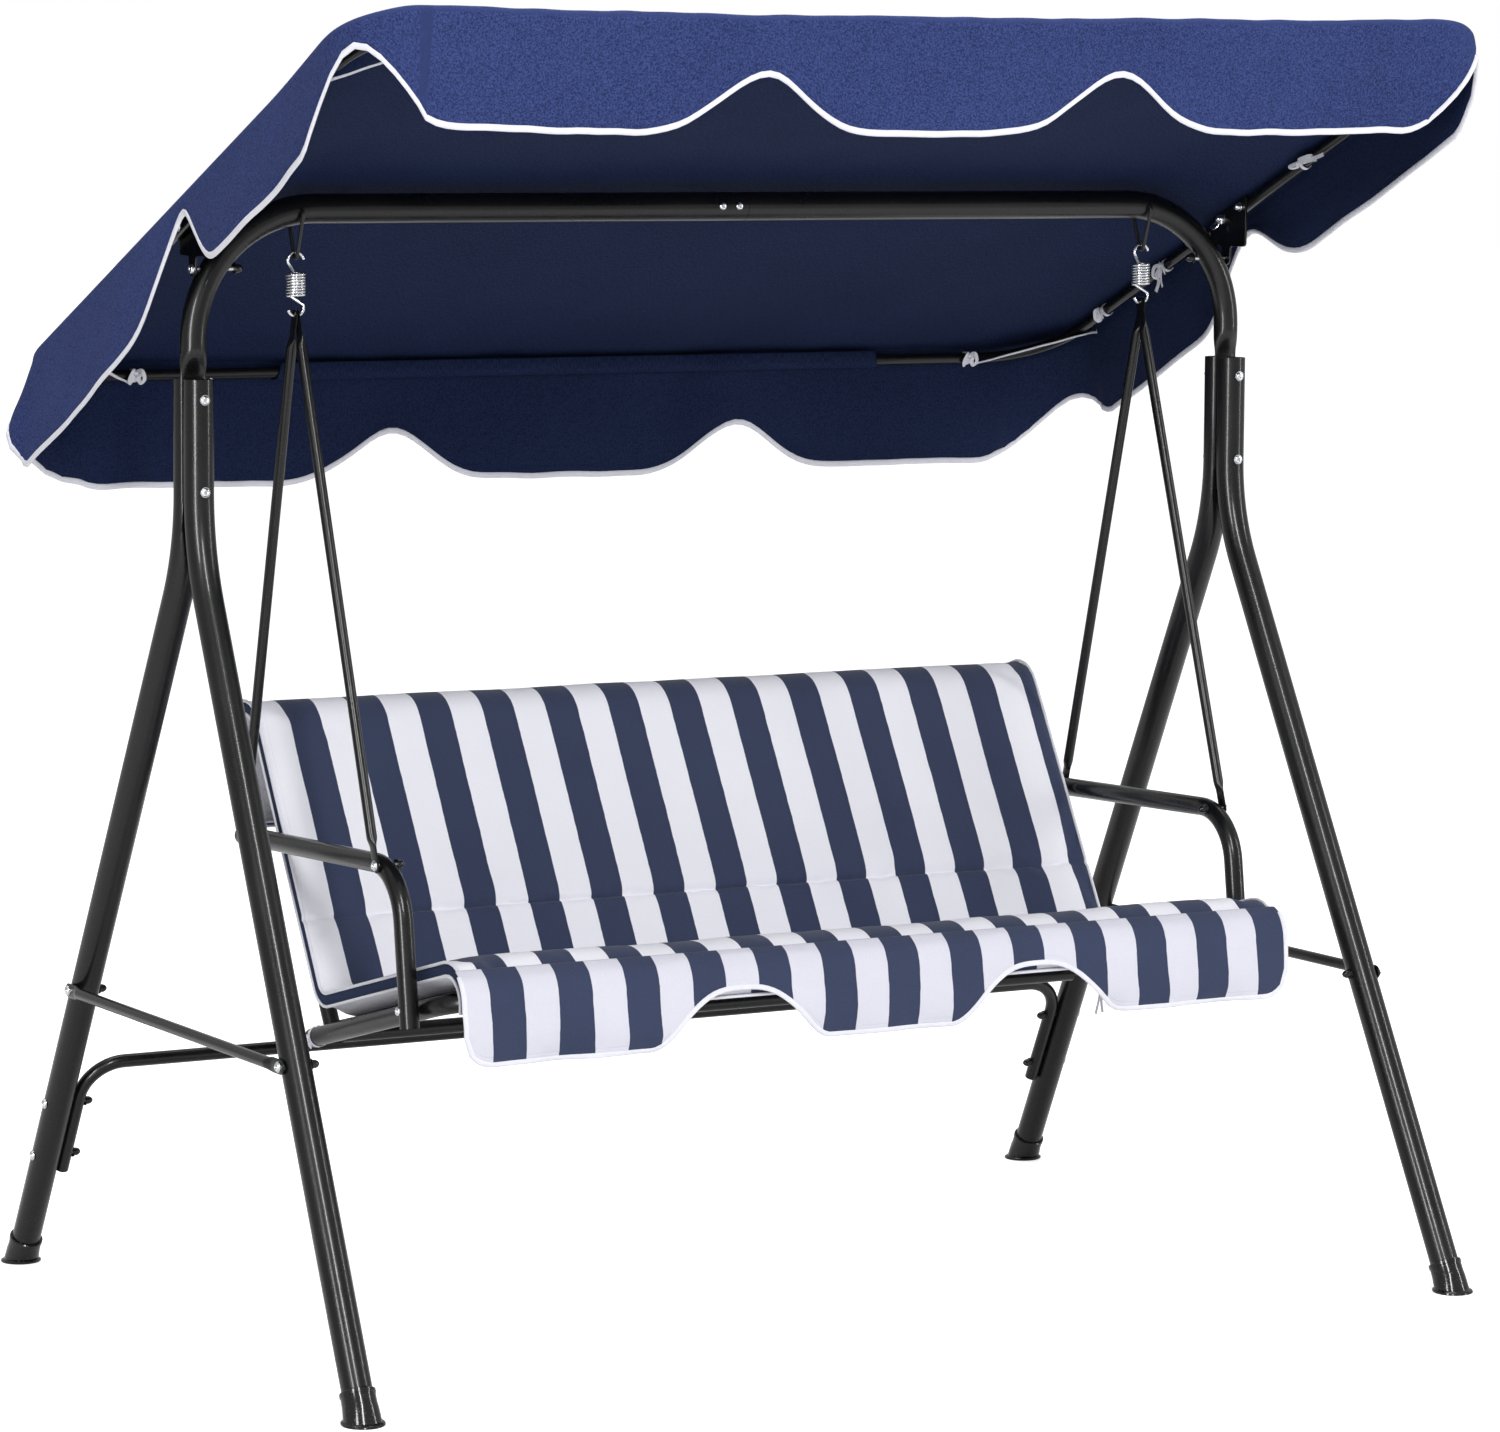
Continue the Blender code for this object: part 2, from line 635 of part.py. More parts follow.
def make_seat_frame():
    """U of the seat: two side rails and the front rail."""
    left = in_plane(-1, SEAT_X, [SEAT_REAR, SEAT_FRONT])
    right = in_plane(1, SEAT_X, [SEAT_FRONT, SEAT_REAR])
    path = rounded_path(left + right, SEAT_CORNER_RADIUS, 3)
    tube("seat_frame", path, SEAT_RADIUS, SEAT_WALL, BLACK, (1, 0, 0), 10)


def make_back_frame():
    """U of the backrest, straight in side view."""
    left = in_plane(-1, BACK_X, [BACK_LOW, BACK_TOP])
    right = in_plane(1, BACK_X, [BACK_TOP, BACK_LOW])
    path = rounded_path(left + right, BACK_CORNER_RADIUS, 2)
    return tube("back_frame", path, BACK_RADIUS, BACK_WALL, BLACK, (1, 0, 0), 8)


def unit(pair_from, pair_to):
    return (Vector(pair_to) - Vector(pair_from)).normalized()


def seat_line(offset):
    """Seat and back profile in YZ, at a distance in front of the frame's axes."""
    seat_run = unit(SEAT_FRONT, SEAT_REAR)
    seat_up = Vector((-seat_run.y, seat_run.x))
    back_run = unit(BACK_LOW, BACK_TOP)
    back_front = Vector((-back_run.y, back_run.x))
    seat_start = Vector(SEAT_FRONT) + seat_up * offset
    back_start = Vector(BACK_LOW) + back_front * offset
    reach = (back_start - seat_start).cross(back_run) / seat_run.cross(back_run)
    crease = seat_start + seat_run * reach
    top = Vector(BACK_TOP) + back_front * offset
    return seat_start, crease, top, seat_up, back_run, back_front


def make_slings():
    """Cloth panels stretched over the seat's rails and in front of the back frame."""
    offset = SEAT_RADIUS + GAP + SLING / 2
    start, crease, _, _, _, _ = seat_line(offset)
    rear = start + (crease - start) * 0.93
    front = [tuple(start), tuple(rear)]
    swept_strip("seat_sling", front, SLING / 2, SEAT_SLING_HALF, SLING_CLOTH)
    offset = BACK_RADIUS + GAP + SLING / 2
    _, crease, top, _, _, _ = seat_line(offset)
    low = crease + (top - crease) * 0.10
    swept_strip("back_sling", [tuple(low), tuple(top)], SLING / 2, BACK_SLING_HALF, SLING_CLOTH)


def make_cushion():
    """One long pad: front roll, seat, back and a flap over the top rail."""
    base = SEAT_RADIUS + GAP + SLING + GAP
    offset = base + CUSHION / 2
    start, crease, top, seat_up, back_run, back_front = seat_line(offset)
    line = []
    tilt = math.atan2(seat_up.y, seat_up.x)
    for i in range(7):
        angle = tilt + math.radians(120) * (6 - i) / 6
        line.append((SEAT_FRONT[0] + offset * math.cos(angle),
                     SEAT_FRONT[1] + offset * math.sin(angle)))
    flat = [Vector((0, *start)), Vector((0, *crease)), Vector((0, *top))]
    for point in rounded_path(flat, CUSHION_CREASE_RADIUS, 5)[1:]:
        line.append((point.y, point.z))
    facing = math.atan2(back_front.y, back_front.x)
    for i in range(1, 7):
        angle = facing - math.pi * i / 6
        line.append((BACK_TOP[0] + offset * math.cos(angle),
                     BACK_TOP[1] + offset * math.sin(angle)))
    behind = Vector(line[-1]) - back_run * FLAP_LENGTH
    line.append(tuple(behind))
    swept_strip("seat_cushion", line, CUSHION / 2, CUSHION_HALF_WIDTH, STRIPE)


def apron_low(x):
    """Lower edge of the seat valance: three lobes, two arches, rounded ends."""
    away = abs(abs(x) - APRON_ARCH_X) / APRON_ARCH_HALF
    arch = (APRON_ARCH_Z - APRON_LOW_Z) * round_rise(away)
    end = max(0.0, (abs(x) - (APRON_HALF_WIDTH - APRON_CORNER)) / APRON_CORNER)
    corner = APRON_CORNER * (1 - math.sqrt(max(0.0, 1 - end * end)))
    return APRON_LOW_Z + arch + corner


def make_apron():
    """Scalloped valance that hangs from the cushion's front roll."""
    y = SEAT_FRONT[0] - (SEAT_RADIUS + 2 * GAP + SLING + CUSHION) - CLOTH / 2 - GAP
    columns = 41
    grid = []
    for t in (0.0, 0.4, 1.0):
        row = []
        for k in range(columns):
            x = APRON_HALF_WIDTH * (2 * k / (columns - 1) - 1)
            z = APRON_TOP_Z + (apron_low(x) - APRON_TOP_Z) * t
            row.append(Vector((x, y, z)))
        grid.append(row)
    sheet_solid("seat_valance", grid, CLOTH, STRIPE)


def make_seat():
    arms = {side: make_armrest(side) for side in SIDES}
    make_seat_frame()
    back_frame = make_back_frame()
    hangers = {(s, e): make_hanger(s, e) for s in SIDES for e in ENDS}
    rail_half = BACK_X - BACK_RADIUS - GAP
    rail = [(-rail_half, *BACK_LOW), (rail_half, *BACK_LOW)]
    tube("rear_seat_rail", rail, REAR_RAIL_RADIUS, REAR_RAIL_WALL, BLACK, (0, 1, 0), 8)
    for side in SIDES:
        fasten_arm(side, arms[side], hangers, back_frame)
    make_slings()
    make_cushion()
    make_apron()


def fasten_arm(side, arm, hangers, back_frame):
    inward = Vector((-side, 0, 0))
    outer_x = ARM_X + ARM_RADIUS + GAP + 2 * HANGER_PLATE_HALF
    for end, (y, z) in ((-1, ARM_FRONT_BOLT), (1, ARM_REAR_BOLT)):
        head = Vector((side * outer_x, y, z))
        parts = [hangers[side, end], arm]
        inner_x = ARM_X - ARM_RADIUS - GAP
        collar = None
        if end > 0:
            parts.append(back_frame)
            start = outer_x - inner_x + 2 * GAP
            inner_x = BACK_X - BACK_RADIUS
            stop = outer_x - BACK_X - BACK_RADIUS - 2 * GAP
            collar = (start, stop, SPACER_RADIUS)
        bore(parts, head, (1, 0, 0), BOLT_HOLE, 0.20)
        name = "arm_bolt_" + END_NAME[end] + "_" + SIDE_NAME[side]
        bolt(name, head, inward, outer_x - inner_x + GAP, collar=collar)


# ---------------------------------------------------------------- canopy
def canopy_point(x, s, n):
    """World point from canopy coordinates: across, down the slope, above the frame."""
    run = Vector((0, math.cos(CANOPY_TILT), -math.sin(CANOPY_TILT)))
    up = Vector((0, math.sin(CANOPY_TILT), math.cos(CANOPY_TILT)))
    return Vector((x, *CANOPY_MID)) + run * s + up * n


def make_canopy_frame():
    """Two U tubes: the front one ends over the brackets, the rear one slides into it."""
    x, joint = CANOPY_TUBE_X, CANOPY_JOINT_S
    radius, wall = CANOPY_TUBE_RADIUS, CANOPY_TUBE_WALL
    corners = [(-x, joint - GAP), (-x, CANOPY_FRONT_S), (x, CANOPY_FRONT_S), (x, joint - GAP)]
    path = rounded_path([canopy_point(a, s, 0) for a, s in corners], CANOPY_CORNER, 4)
    normal = canopy_point(0, 0, 1) - canopy_point(0, 0, 0)
    front = tube("canopy_front_tube", path, radius, wall, BLACK, normal, 8)
    corners = [(-x, joint + GAP), (-x, CANOPY_REAR_S), (x, CANOPY_REAR_S), (x, joint + GAP)]
    path = rounded_path([canopy_point(a, s, 0) for a, s in corners], CANOPY_CORNER, 4)
    neck_radius = radius - wall - GAP
    neck = [(neck_radius, neck_radius, None)] * 2
    sections = neck + [(radius, radius, None)] * len(path) + neck
    left = [canopy_point(-x, joint - d, 0) for d in (CANOPY_SWAGE, 0.0)]
    right = [canopy_point(x, joint - d, 0) for d in (0.0, CANOPY_SWAGE)]
    sweep("canopy_rear_tube", left + path + right, sections, wall, BLACK, normal, 8)
    return front


def bracket_outline(y_pivot, z_pivot):
    """Plate in YZ: round stem end, shoulders and a top edge along the side tube."""
    half = BRACKET_STEM_HALF
    low, high = BRACKET_SHOULDER_Z
    ease = high - low
    shape = []
    for i in range(7):
        angle = math.radians(180 + 180 * i / 6)
        shape.append((y_pivot + half * math.cos(angle), z_pivot + half * math.sin(angle)))
    shape += [(half, BRACKET_STEM_Z), (half + 0.003, low)]
    shape += [(BRACKET_REAR_Y - ease, low), (BRACKET_REAR_Y, high)]
    for y in (BRACKET_REAR_Y, BRACKET_FRONT_Y):
        rise = math.tan(CANOPY_TILT) * (CANOPY_MID[0] - y)
        shape.append((y, CANOPY_MID[1] + rise + BRACKET_RISE))
    shape += [(BRACKET_FRONT_Y, high), (BRACKET_FRONT_Y + ease, low)]
    return shape + [(-half - 0.003, low), (-half, BRACKET_STEM_Z)]


def make_bracket(side, front_tube, top):
    """Upright plate bolted to the side tube; its narrow stem turns on the pivot bolt."""
    y_pivot, z_pivot = CANOPY_PIVOT
    shape = bracket_outline(y_pivot, z_pivot)
    count = len(shape)
    points = []
    for x in (BRACKET_X, BRACKET_X + BRACKET_THICKNESS):
        points += [(side * x, y, z) for y, z in shape]
    faces = [(k, (k + 1) % count, (k + 1) % count + count, k + count) for k in range(count)]
    faces += [tuple(range(count)), tuple(reversed(range(count, 2 * count)))]
    name = "canopy_bracket_" + SIDE_NAME[side]
    plate = make_object(name, points, faces, BLACK)
    outward = Vector((side, 0, 0))
    wing = canopy_point(side * BRACKET_X, 0.0, 0.0)
    bore([plate, front_tube], wing, outward, BOLT_HOLE, 0.06)
    outer = CANOPY_TUBE_X + CANOPY_TUBE_RADIUS + 0.0002
    head = Vector((side * outer, wing.y, wing.z))
    bolt("canopy_lock_bolt_" + SIDE_NAME[side], head, -outward, outer - BRACKET_X + GAP)
    pivot = Vector((side * BRACKET_X, y_pivot, z_pivot))
    bore([plate, top], pivot, outward, BOLT_HOLE, 0.16)
    head = Vector((side * (BRACKET_X + BRACKET_THICKNESS + GAP), y_pivot, z_pivot))
    bolt("canopy_pivot_bolt_" + SIDE_NAME[side], head, -outward, PIVOT_GRIP)


def cover_lift(x, s):
    """Height of the cloth over the frame's plane, with the ridge over the top tube."""
    ridge = 1 - (math.hypot(s, 0.03) - 0.03) / RIDGE_REACH
    inside = smooth_step((0.785 - abs(x)) / 0.165)
    return COVER_LIFT + COVER_RIDGE * max(ridge, 0.0) * inside


def cover_rows():
    """Rows down the slope, close together in the rounded corners and at the ridge."""
    quarter = [COVER_CORNER * (1 - math.sin(math.radians(a))) for a in (90, 65, 40, 18)]
    front = [COVER_FRONT_S + q for q in quarter]
    rear = [COVER_REAR_S - q for q in reversed(quarter)]
    return front + [-0.40, -0.24, -0.12, -0.05, -0.02, 0.02, 0.05, 0.12, 0.24] + rear


def cover_half_width(s):
    """Half width of the cover at s: a rectangle with round corners."""
    from_end = min(s - COVER_FRONT_S, COVER_REAR_S - s)
    if from_end >= COVER_CORNER:
        return COVER_HALF_WIDTH
    drop = COVER_CORNER - from_end
    return COVER_HALF_WIDTH - COVER_CORNER + math.sqrt(max(0.0, COVER_CORNER**2 - drop**2))


def make_canopy_top():
    ratios = (0.0, 0.30, 0.55, 0.77, 0.83, 0.89, 0.95, 1.0)
    columns = [-r for r in reversed(ratios[1:])] + list(ratios)
    grid = []
    for s in cover_rows():
        half = cover_half_width(s)
        grid.append([canopy_point(half * c, s, cover_lift(half * c, s)) for c in columns])
    sheet_solid("canopy_top", grid, CLOTH, NAVY)


def hump_share(x, centres, half_width):
    """1 over a hump between two lobes, 0 away from it."""
    return max(round_rise(abs(x - centre) / half_width) for centre in centres)


def end_depth(x, end):
    """Drop of the front or rear valance: three lobes with a hump between each two."""
    lobe = FRONT_LOBE if end < 0 else REAR_LOBE
    low = FRONT_HUMP if end < 0 else REAR_HUMP
    centres = FRONT_HUMP_X if end < 0 else REAR_HUMP_X
    corner = smooth_step((abs(x) - (COVER_HALF_WIDTH - 0.11)) / 0.11)
    depth = lobe - (lobe - low) * hump_share(x, centres, HUMP_HALF_WIDTH)
    return depth + (CORNER_DEPTH[end] - depth) * corner


def side_depth(side, s):
    """Drop of a side valance: two lobes and a hump over the bracket."""
    front, rear = SIDE_LOBE[side]
    lobe = front + (rear - front) * smooth_step((s + 0.10) / 0.40)
    hump = 1 - smooth_step((abs(s - SIDE_HUMP_S[side]) - 0.02) / 0.09)
    depth = lobe - (lobe - SIDE_HUMP) * hump
    end = -1 if s < 0 else 1
    from_end = min(s - COVER_FRONT_S, COVER_REAR_S - s)
    corner = 1 - smooth_step((from_end - 0.02) / 0.11)
    return depth + (CORNER_DEPTH[end] - depth) * corner


def valance_column(x, s, outward, depth):
    """Points down one line of a valance, from the fold to the lower edge."""
    out_x, out_s = outward
    lean = math.tan(CANOPY_TILT)
    flare = 0.16 * abs(out_x) - (0.22 if out_s < 0 else -0.10) * abs(out_s)
    column = []
    for t in (0.0, 0.5, 1.0):
        drop = depth * t
        column.append(canopy_point(x + out_x * flare * drop,
                                   s + (out_s * flare + lean) * drop,
                                   COVER_LIFT - CLOTH / 2 - GAP - 0.0012 - drop))
    return column


def make_valance(name, stations):
    columns = [valance_column(*station) for station in stations]
    grid = [[column[i] for column in columns] for i in range(3)]
    sheet_solid(name, grid, CLOTH, NAVY)


def make_valances():
    straight = COVER_HALF_WIDTH - COVER_CORNER
    for end, s in ((-1, COVER_FRONT_S), (1, COVER_REAR_S)):
        reach = straight - 0.004
        xs = [reach * (2 * k / 36 - 1) for k in range(37)]
        make_valance("valance_" + END_NAME[end], [(x, s, (0, end), end_depth(x, end)) for x in xs])
    for side in SIDES:
        stations = []
        for end, centre in ((-1, COVER_FRONT_S + COVER_CORNER), (1, COVER_REAR_S - COVER_CORNER)):
            corner = []
            for i in range(6):
                angle = math.radians(87 * (5 - i) / 5)
                out = (side * math.cos(angle), end * math.sin(angle))
                x = side * straight + COVER_CORNER * out[0]
                corner.append((x, centre + COVER_CORNER * out[1], out))
            if end > 0:
                corner.reverse()
            stations.append(corner)
        span = COVER_REAR_S - COVER_FRONT_S - 2 * COVER_CORNER
        middle = []
        for k in range(1, 26):
            s = COVER_FRONT_S + COVER_CORNER + span * k / 26
            middle.append((side * COVER_HALF_WIDTH, s, (side, 0)))
        line = []
        for x, s, out in stations[0] + middle + stations[1]:
            depth = side_depth(side, s)
            if abs(out[1]) > 0:
                share = smooth_step(abs(out[1]))
                depth = (1 - share) * depth + share * end_depth(straight, -1 if s < 0 else 1)
            line.append((x, s, out, depth))
        make_valance("valance_" + SIDE_NAME[side], line)


# ---------------------------------------------------------------- assembly
def put_on_axis(name, location, parts):
    """Empty on a joint's axis that carries the parts which move with the joint."""
    axis = bpy.data.objects.new(name, None)
    axis.location = location
    bpy.context.scene.collection.objects.link(axis)
    for part in parts:
        part.parent = axis
        part.matrix_parent_inverse = Matrix.Translation(location).inverted()


def new_parts(before):
    """Mesh parts made since the list of names was taken, without the cutters."""
    return [o for o in bpy.data.objects if o.name not in before and not o.hide_render]


def all_names():
    return {o.name for o in bpy.data.objects}


def main():
    tops = make_stand()
    for side in SIDES:
        make_hook(side, tops[side])
    before = all_names()
    for side in SIDES:
        make_spring(side)
    put_on_axis("seat_swing_axis", (0, 0, SPRING_TOP_Z), new_parts(before))
    before = all_names()
    make_seat()
    put_on_axis("spring_stretch_axis", (0, 0, SPRING_LOW_Z), new_parts(before))
    before = all_names()
    front_tube = make_canopy_frame()
    for side in SIDES:
        make_bracket(side, front_tube, tops[side])
    make_canopy_top()
    make_valances()
    moving = [o for o in new_parts(before) if not o.name.startswith("canopy_pivot_bolt")]
    put_on_axis("canopy_tilt_axis", (0, *CANOPY_PIVOT), moving)


main()
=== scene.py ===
"""Looks of the canopy swing bench: fine tubes, fasteners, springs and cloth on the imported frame.

Metres, +Z up, -Y is the front. Each piece stands where its CAD node stands and replaces it.
"""
import math

import bmesh
import bpy
import numpy as np
from mathutils import Matrix, Vector, noise


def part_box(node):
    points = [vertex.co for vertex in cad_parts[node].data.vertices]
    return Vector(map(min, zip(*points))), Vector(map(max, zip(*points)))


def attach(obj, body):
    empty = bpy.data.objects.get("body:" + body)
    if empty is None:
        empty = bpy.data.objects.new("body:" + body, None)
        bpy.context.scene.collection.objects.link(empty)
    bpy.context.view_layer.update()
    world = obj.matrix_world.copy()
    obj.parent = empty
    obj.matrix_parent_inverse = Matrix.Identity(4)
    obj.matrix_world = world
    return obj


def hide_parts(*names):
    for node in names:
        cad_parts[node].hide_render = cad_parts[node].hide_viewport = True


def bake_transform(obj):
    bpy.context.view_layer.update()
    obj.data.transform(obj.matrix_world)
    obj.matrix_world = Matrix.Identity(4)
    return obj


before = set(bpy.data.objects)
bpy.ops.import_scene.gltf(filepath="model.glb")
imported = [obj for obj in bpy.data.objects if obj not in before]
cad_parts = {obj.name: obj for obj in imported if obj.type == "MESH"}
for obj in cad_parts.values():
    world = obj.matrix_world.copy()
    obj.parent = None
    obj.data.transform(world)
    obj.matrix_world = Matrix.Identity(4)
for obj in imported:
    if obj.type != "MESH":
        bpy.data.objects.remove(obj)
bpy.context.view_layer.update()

# ---------------------------------------------------------------- driving dimensions
SIDES = (-1, 1)
ENDS = (-1, 1)
SIDE_NAME = {-1: "left", 1: "right"}
END_NAME = {-1: "front", 1: "rear"}
GAP = 0.0003

CAMERA_PLACE = (-3.6478, -6.4811, 1.5802)
CAMERA_TURN = -29.541        # degrees to the right of straight ahead
CAMERA_DOWN = 6.329
CAMERA_ROLL = 0.360
CAMERA_LENS = 135.52         # millimetres on a sensor of SENSOR_WIDTH
SENSOR_WIDTH = 36.0
SKY_LIGHT = 0.54             # of the world, apart from where the camera looks at it
FLOOR_GLOW = 0.62            # lifts the floor to the white of the background
FLOOR_REACH = 40.0
AREA_LIGHTS = (              # name, place, target, size, watts; False: seen in reflections only
    ("key", (-1.9, -4.9, 4.0), (0, 0, 0.9), (0.5, 2.6), 178, True),
    ("fill", (4.2, -3.0, 2.0), (0, 0, 0.8), (0.22, 2.8), 60, True),
    ("top", (0.2, 0.4, 4.6), (0, 0, 0.5), (3.6, 3.0), 110, True),
    ("gloss", (-5.0, -3.4, 1.5), (0, 0, 0.9), (0.9, 3.4), 240, False),
)

FOOT_X = 0.800
FOOT_Y = 0.535
LEG_RADIUS = 0.019
LEG_WALL = 0.0015
LEG_TOP_X = 0.777
LEG_TOP_Z = 1.217
LEG_CORNER_Z = 1.003
LEG_BEND_RADIUS = 0.30
LEG_FLAT = 0.0125
PLATE_HALF = 0.003
LEG_TOP_Y = PLATE_HALF + GAP + LEG_FLAT
CAP_FLANGE_RADIUS = 0.027
CAP_RADIUS = 0.0213
CAP_LENGTH = 0.042
CAP_FLOOR = 0.0135

TOP_RADIUS = 0.019
POST_RADIUS = 0.0165
TOP_WALL = 0.0014
TOP_AXIS_Z = 1.428
TOP_BEND_RADIUS = 0.166
TOP_JOINT_X = 0.009
SPLICE_LENGTH = 0.063        # of the neck inside the joint
SPLICE_BOLT_X = (-0.031, -0.006)
CRIMP_Z = (1.256, 1.221)     # where the post is pressed flat
CRIMP_BULGE = 0.0012
TOP_FOOT_Z = 1.062
TOP_FOOT_HALF_WIDTH = 0.0172

BRACE_Z = 0.400
BRACE_RADIUS = 0.0075
BRACE_PLATE_HALF = 0.0022
BRACE_PLATE_LENGTH = 0.030
BRACE_OVERHANG = 0.012
CROSSBAR_RADIUS = 0.009
CROSSBAR_Z = 0.290
CROSSBAR_END_Z = 0.136
CROSSBAR_BEND_RADIUS = 0.055

HANG_X = 0.636
HOOK_WIRE = 0.0025
HOOK_HALF = 0.0250
HOOK_LOW_Z = 1.3688
SPRING_WIRE = 0.0019
SPRING_RADIUS = 0.011
SPRING_TURNS = 8
SPRING_TOP_Z = 1.3735
SPRING_LOW_Z = 1.2935
COIL_Z = (1.3175, 1.3485)
HANGER_RADIUS = 0.0067
HANGER_PLATE_HALF = 0.0016
HANGER_EYE = 0.0095
HANGER_HOLE_Z = 1.2925
HANGER_FLATS = {0: 0.034, -1: 0.030}    # lengths of the flat ends, top and bottom
HANGER_STAGGER = 0.00175

ARM_X = 0.618
ARM_RADIUS = 0.0125
ARM_BEND_RADIUS = 0.075
ARM_REAR = (0.205, 0.609)    # (y, z) pairs from here on
ARM_CORNER = (-0.262, 0.6235)
ARM_LOW = (-0.2885, 0.426)
ARM_FRONT_BOLT = (-0.2227, 0.6217)
ARM_REAR_BOLT = (0.172, 0.6100)
ARM_LOW_BOLT = (-0.281, 0.4475)
SEAT_RADIUS = 0.0125
SEAT_CORNER_RADIUS = 0.055
SEAT_X = ARM_X - ARM_RADIUS - SEAT_RADIUS - GAP
SEAT_REAR = (0.046, 0.3629)
SEAT_FRONT = (-0.356, 0.4666)
BACK_RADIUS = 0.011
BACK_CORNER_RADIUS = 0.050
BACK_X = SEAT_X - SEAT_RADIUS - BACK_RADIUS - GAP
BACK_LOW = (0.0322, 0.366)
BACK_TOP = (0.2412, 0.7308)
BACK_JOINT = (0.0355, 0.3685)
REAR_RAIL_RADIUS = 0.010
SLING = 0.003
SEAT_SLING_HALF = 0.590
BACK_SLING_HALF = 0.566
CUSHION = 0.038
CUSHION_HALF_WIDTH = 0.600
CUSHION_CREASE_RADIUS = 0.035
FLAP_LENGTH = 0.105
PAD_HALF = CUSHION / 2 - 0.0025
PAD_FRONT_EDGE = 0.0150      # of the pad's half thickness, left at its edges
PAD_BACK_EDGE = 0.0020
PAD_CAP = 0.0045             # most that the filling may push the upper cloth, and the lower
PAD_UNDER_CAP = 0.0022
STUFFING = {                 # of the cloth simulation
    "quality": 5, "mass": 0.25, "tension_stiffness": 10, "compression_stiffness": 10,
    "shear_stiffness": 4, "bending_stiffness": 0.25, "use_pressure": True,
    "uniform_pressure_force": 4, "shrink_min": -0.035, "vertex_group_mass": "seam", "pin_stiffness": 1.0,
}
STUFFING_FRAMES = 20
STRIPE_START = -0.5560       # left edge of the first blue stripe
STRIPE_PITCH = 0.0940
STRIPE_DRIFT = 0.019         # of the stripes at the front roll
APRON_STRIPE_SHIFT = 0.014
CREASE_Z = 0.508             # sewn line across the back
HEM_STITCH = 0.0125          # distances of sewn lines from an edge
PAD_STITCH = 0.009

APRON_HALF_WIDTH = 0.606
APRON_SEAM_Z = 0.511         # where it is sewn on the roll
APRON_LOW_Z = 0.396
APRON_ARCH_Z = 0.4655
APRON_ARCH_X = 0.218
APRON_ARCH_HALF = 0.130
APRON_ROUNDNESS = 1.5
APRON_CORNER = 0.035

CANOPY_TILT = math.radians(24.0)
CANOPY_MID = (0.007, 1.407)
CANOPY_PIVOT = (0.0, 1.354)
CANOPY_TUBE_RADIUS = 0.0075
CANOPY_TUBE_X = 0.786
CANOPY_FRONT_S = -0.602
CANOPY_REAR_S = 0.518
CANOPY_JOINT_S = 0.100
CANOPY_CORNER = 0.110
BRACKET_X = 0.7750
BRACKET_THICKNESS = 0.003
BRACKET_STEM_HALF = 0.010
BRACKET_STEM_Z = 1.366
BRACKET_SHOULDER_Z = (1.370, 1.375)
BRACKET_FRONT_Y = -0.047
BRACKET_REAR_Y = 0.038
BRACKET_RISE = 0.009
BRACKET_NUT = (-0.033, 1.4245)
LOCK_WING_DROOP = 0.6        # angle of the wings below the canopy's slope, in radians
CLOTH = 0.0016
TAPE = 0.0009
LINING = 0.0012              # thickness of the canopy's pockets and sleeve
APRON_CLOTH = 0.0014
COVER_HALF_WIDTH = 0.820
COVER_FRONT_S = -0.626
COVER_REAR_S = 0.532
COVER_CORNER = 0.100
COVER_FOLD = 0.009           # radius of the fold between the cover and its valances
COVER_LIFT = 0.0115
COVER_RIDGE = 0.035
RIDGE_REACH = 0.60
FRONT_LOBE = 0.122
FRONT_HUMP = 0.062
FRONT_HUMP_X = (-0.270, 0.235)
REAR_LOBE = 0.138
REAR_HUMP = 0.080
REAR_HUMP_X = (-0.260, 0.283)
CORNER_DEPTH = {-1: 0.024, 1: 0.062}
SIDE_LOBE = {-1: (0.118, 0.150), 1: (0.092, 0.118)}
SIDE_HUMP_S = {-1: -0.080, 1: 0.010}
SIDE_HUMP = 0.024
HUMP_HALF_WIDTH = 0.172      # of the humps between the lobes
HUMP_FOOT_SOFTNESS = 1.4     # exponent of their soft feet
SIDE_HUMP_HALF = 0.160
CORNER_REACH = 0.150         # of the rise of the front and rear valances at the corners
CORNER_SOFTNESS = 1.5
CORNER_FLARE = {(-1, -1): 0.06, (1, -1): 0.34, (-1, 1): 0.34, (1, 1): 0.34}    # by side and end
VALANCE_ROWS = (0.0, 0.06, 0.14, 0.24, 0.35, 0.46, 0.57, 0.68, 0.79, 0.90, 1.0)
POCKET_NEAR_S = {-1: COVER_FRONT_S + 0.016, 1: COVER_REAR_S - 0.014}    # of a pocket's two ends
POCKET_FAR_S = {-1: COVER_FRONT_S + 0.165, 1: COVER_REAR_S - 0.140}
SLEEVE_X = (-0.440, 0.495)       # ends of the cloth sleeve on the rear bar
SIDE_TIES = (                    # name, place on the side tube, loop size, tail length
    ("front", -0.195, 0.024, 0.050),
    ("middle", 0.168, 0.015, 0.034),
    ("rear", 0.336, 0.008, 0.014),
)


# ---------------------------------------------------------------- camera, light and floor
def make_camera():
    data = bpy.data.cameras.new("camera")
    data.lens = CAMERA_LENS
    data.sensor_width = SENSOR_WIDTH
    camera = bpy.data.objects.new("camera", data)
    bpy.context.scene.collection.objects.link(camera)
    turn = Matrix.Rotation(math.radians(CAMERA_TURN), 4, "Z")
    down = Matrix.Rotation(math.radians(90 - CAMERA_DOWN), 4, "X")
    roll = Matrix.Rotation(math.radians(CAMERA_ROLL), 4, "Z")
    camera.matrix_world = Matrix.Translation(CAMERA_PLACE) @ turn @ down @ roll
    bpy.context.scene.camera = camera


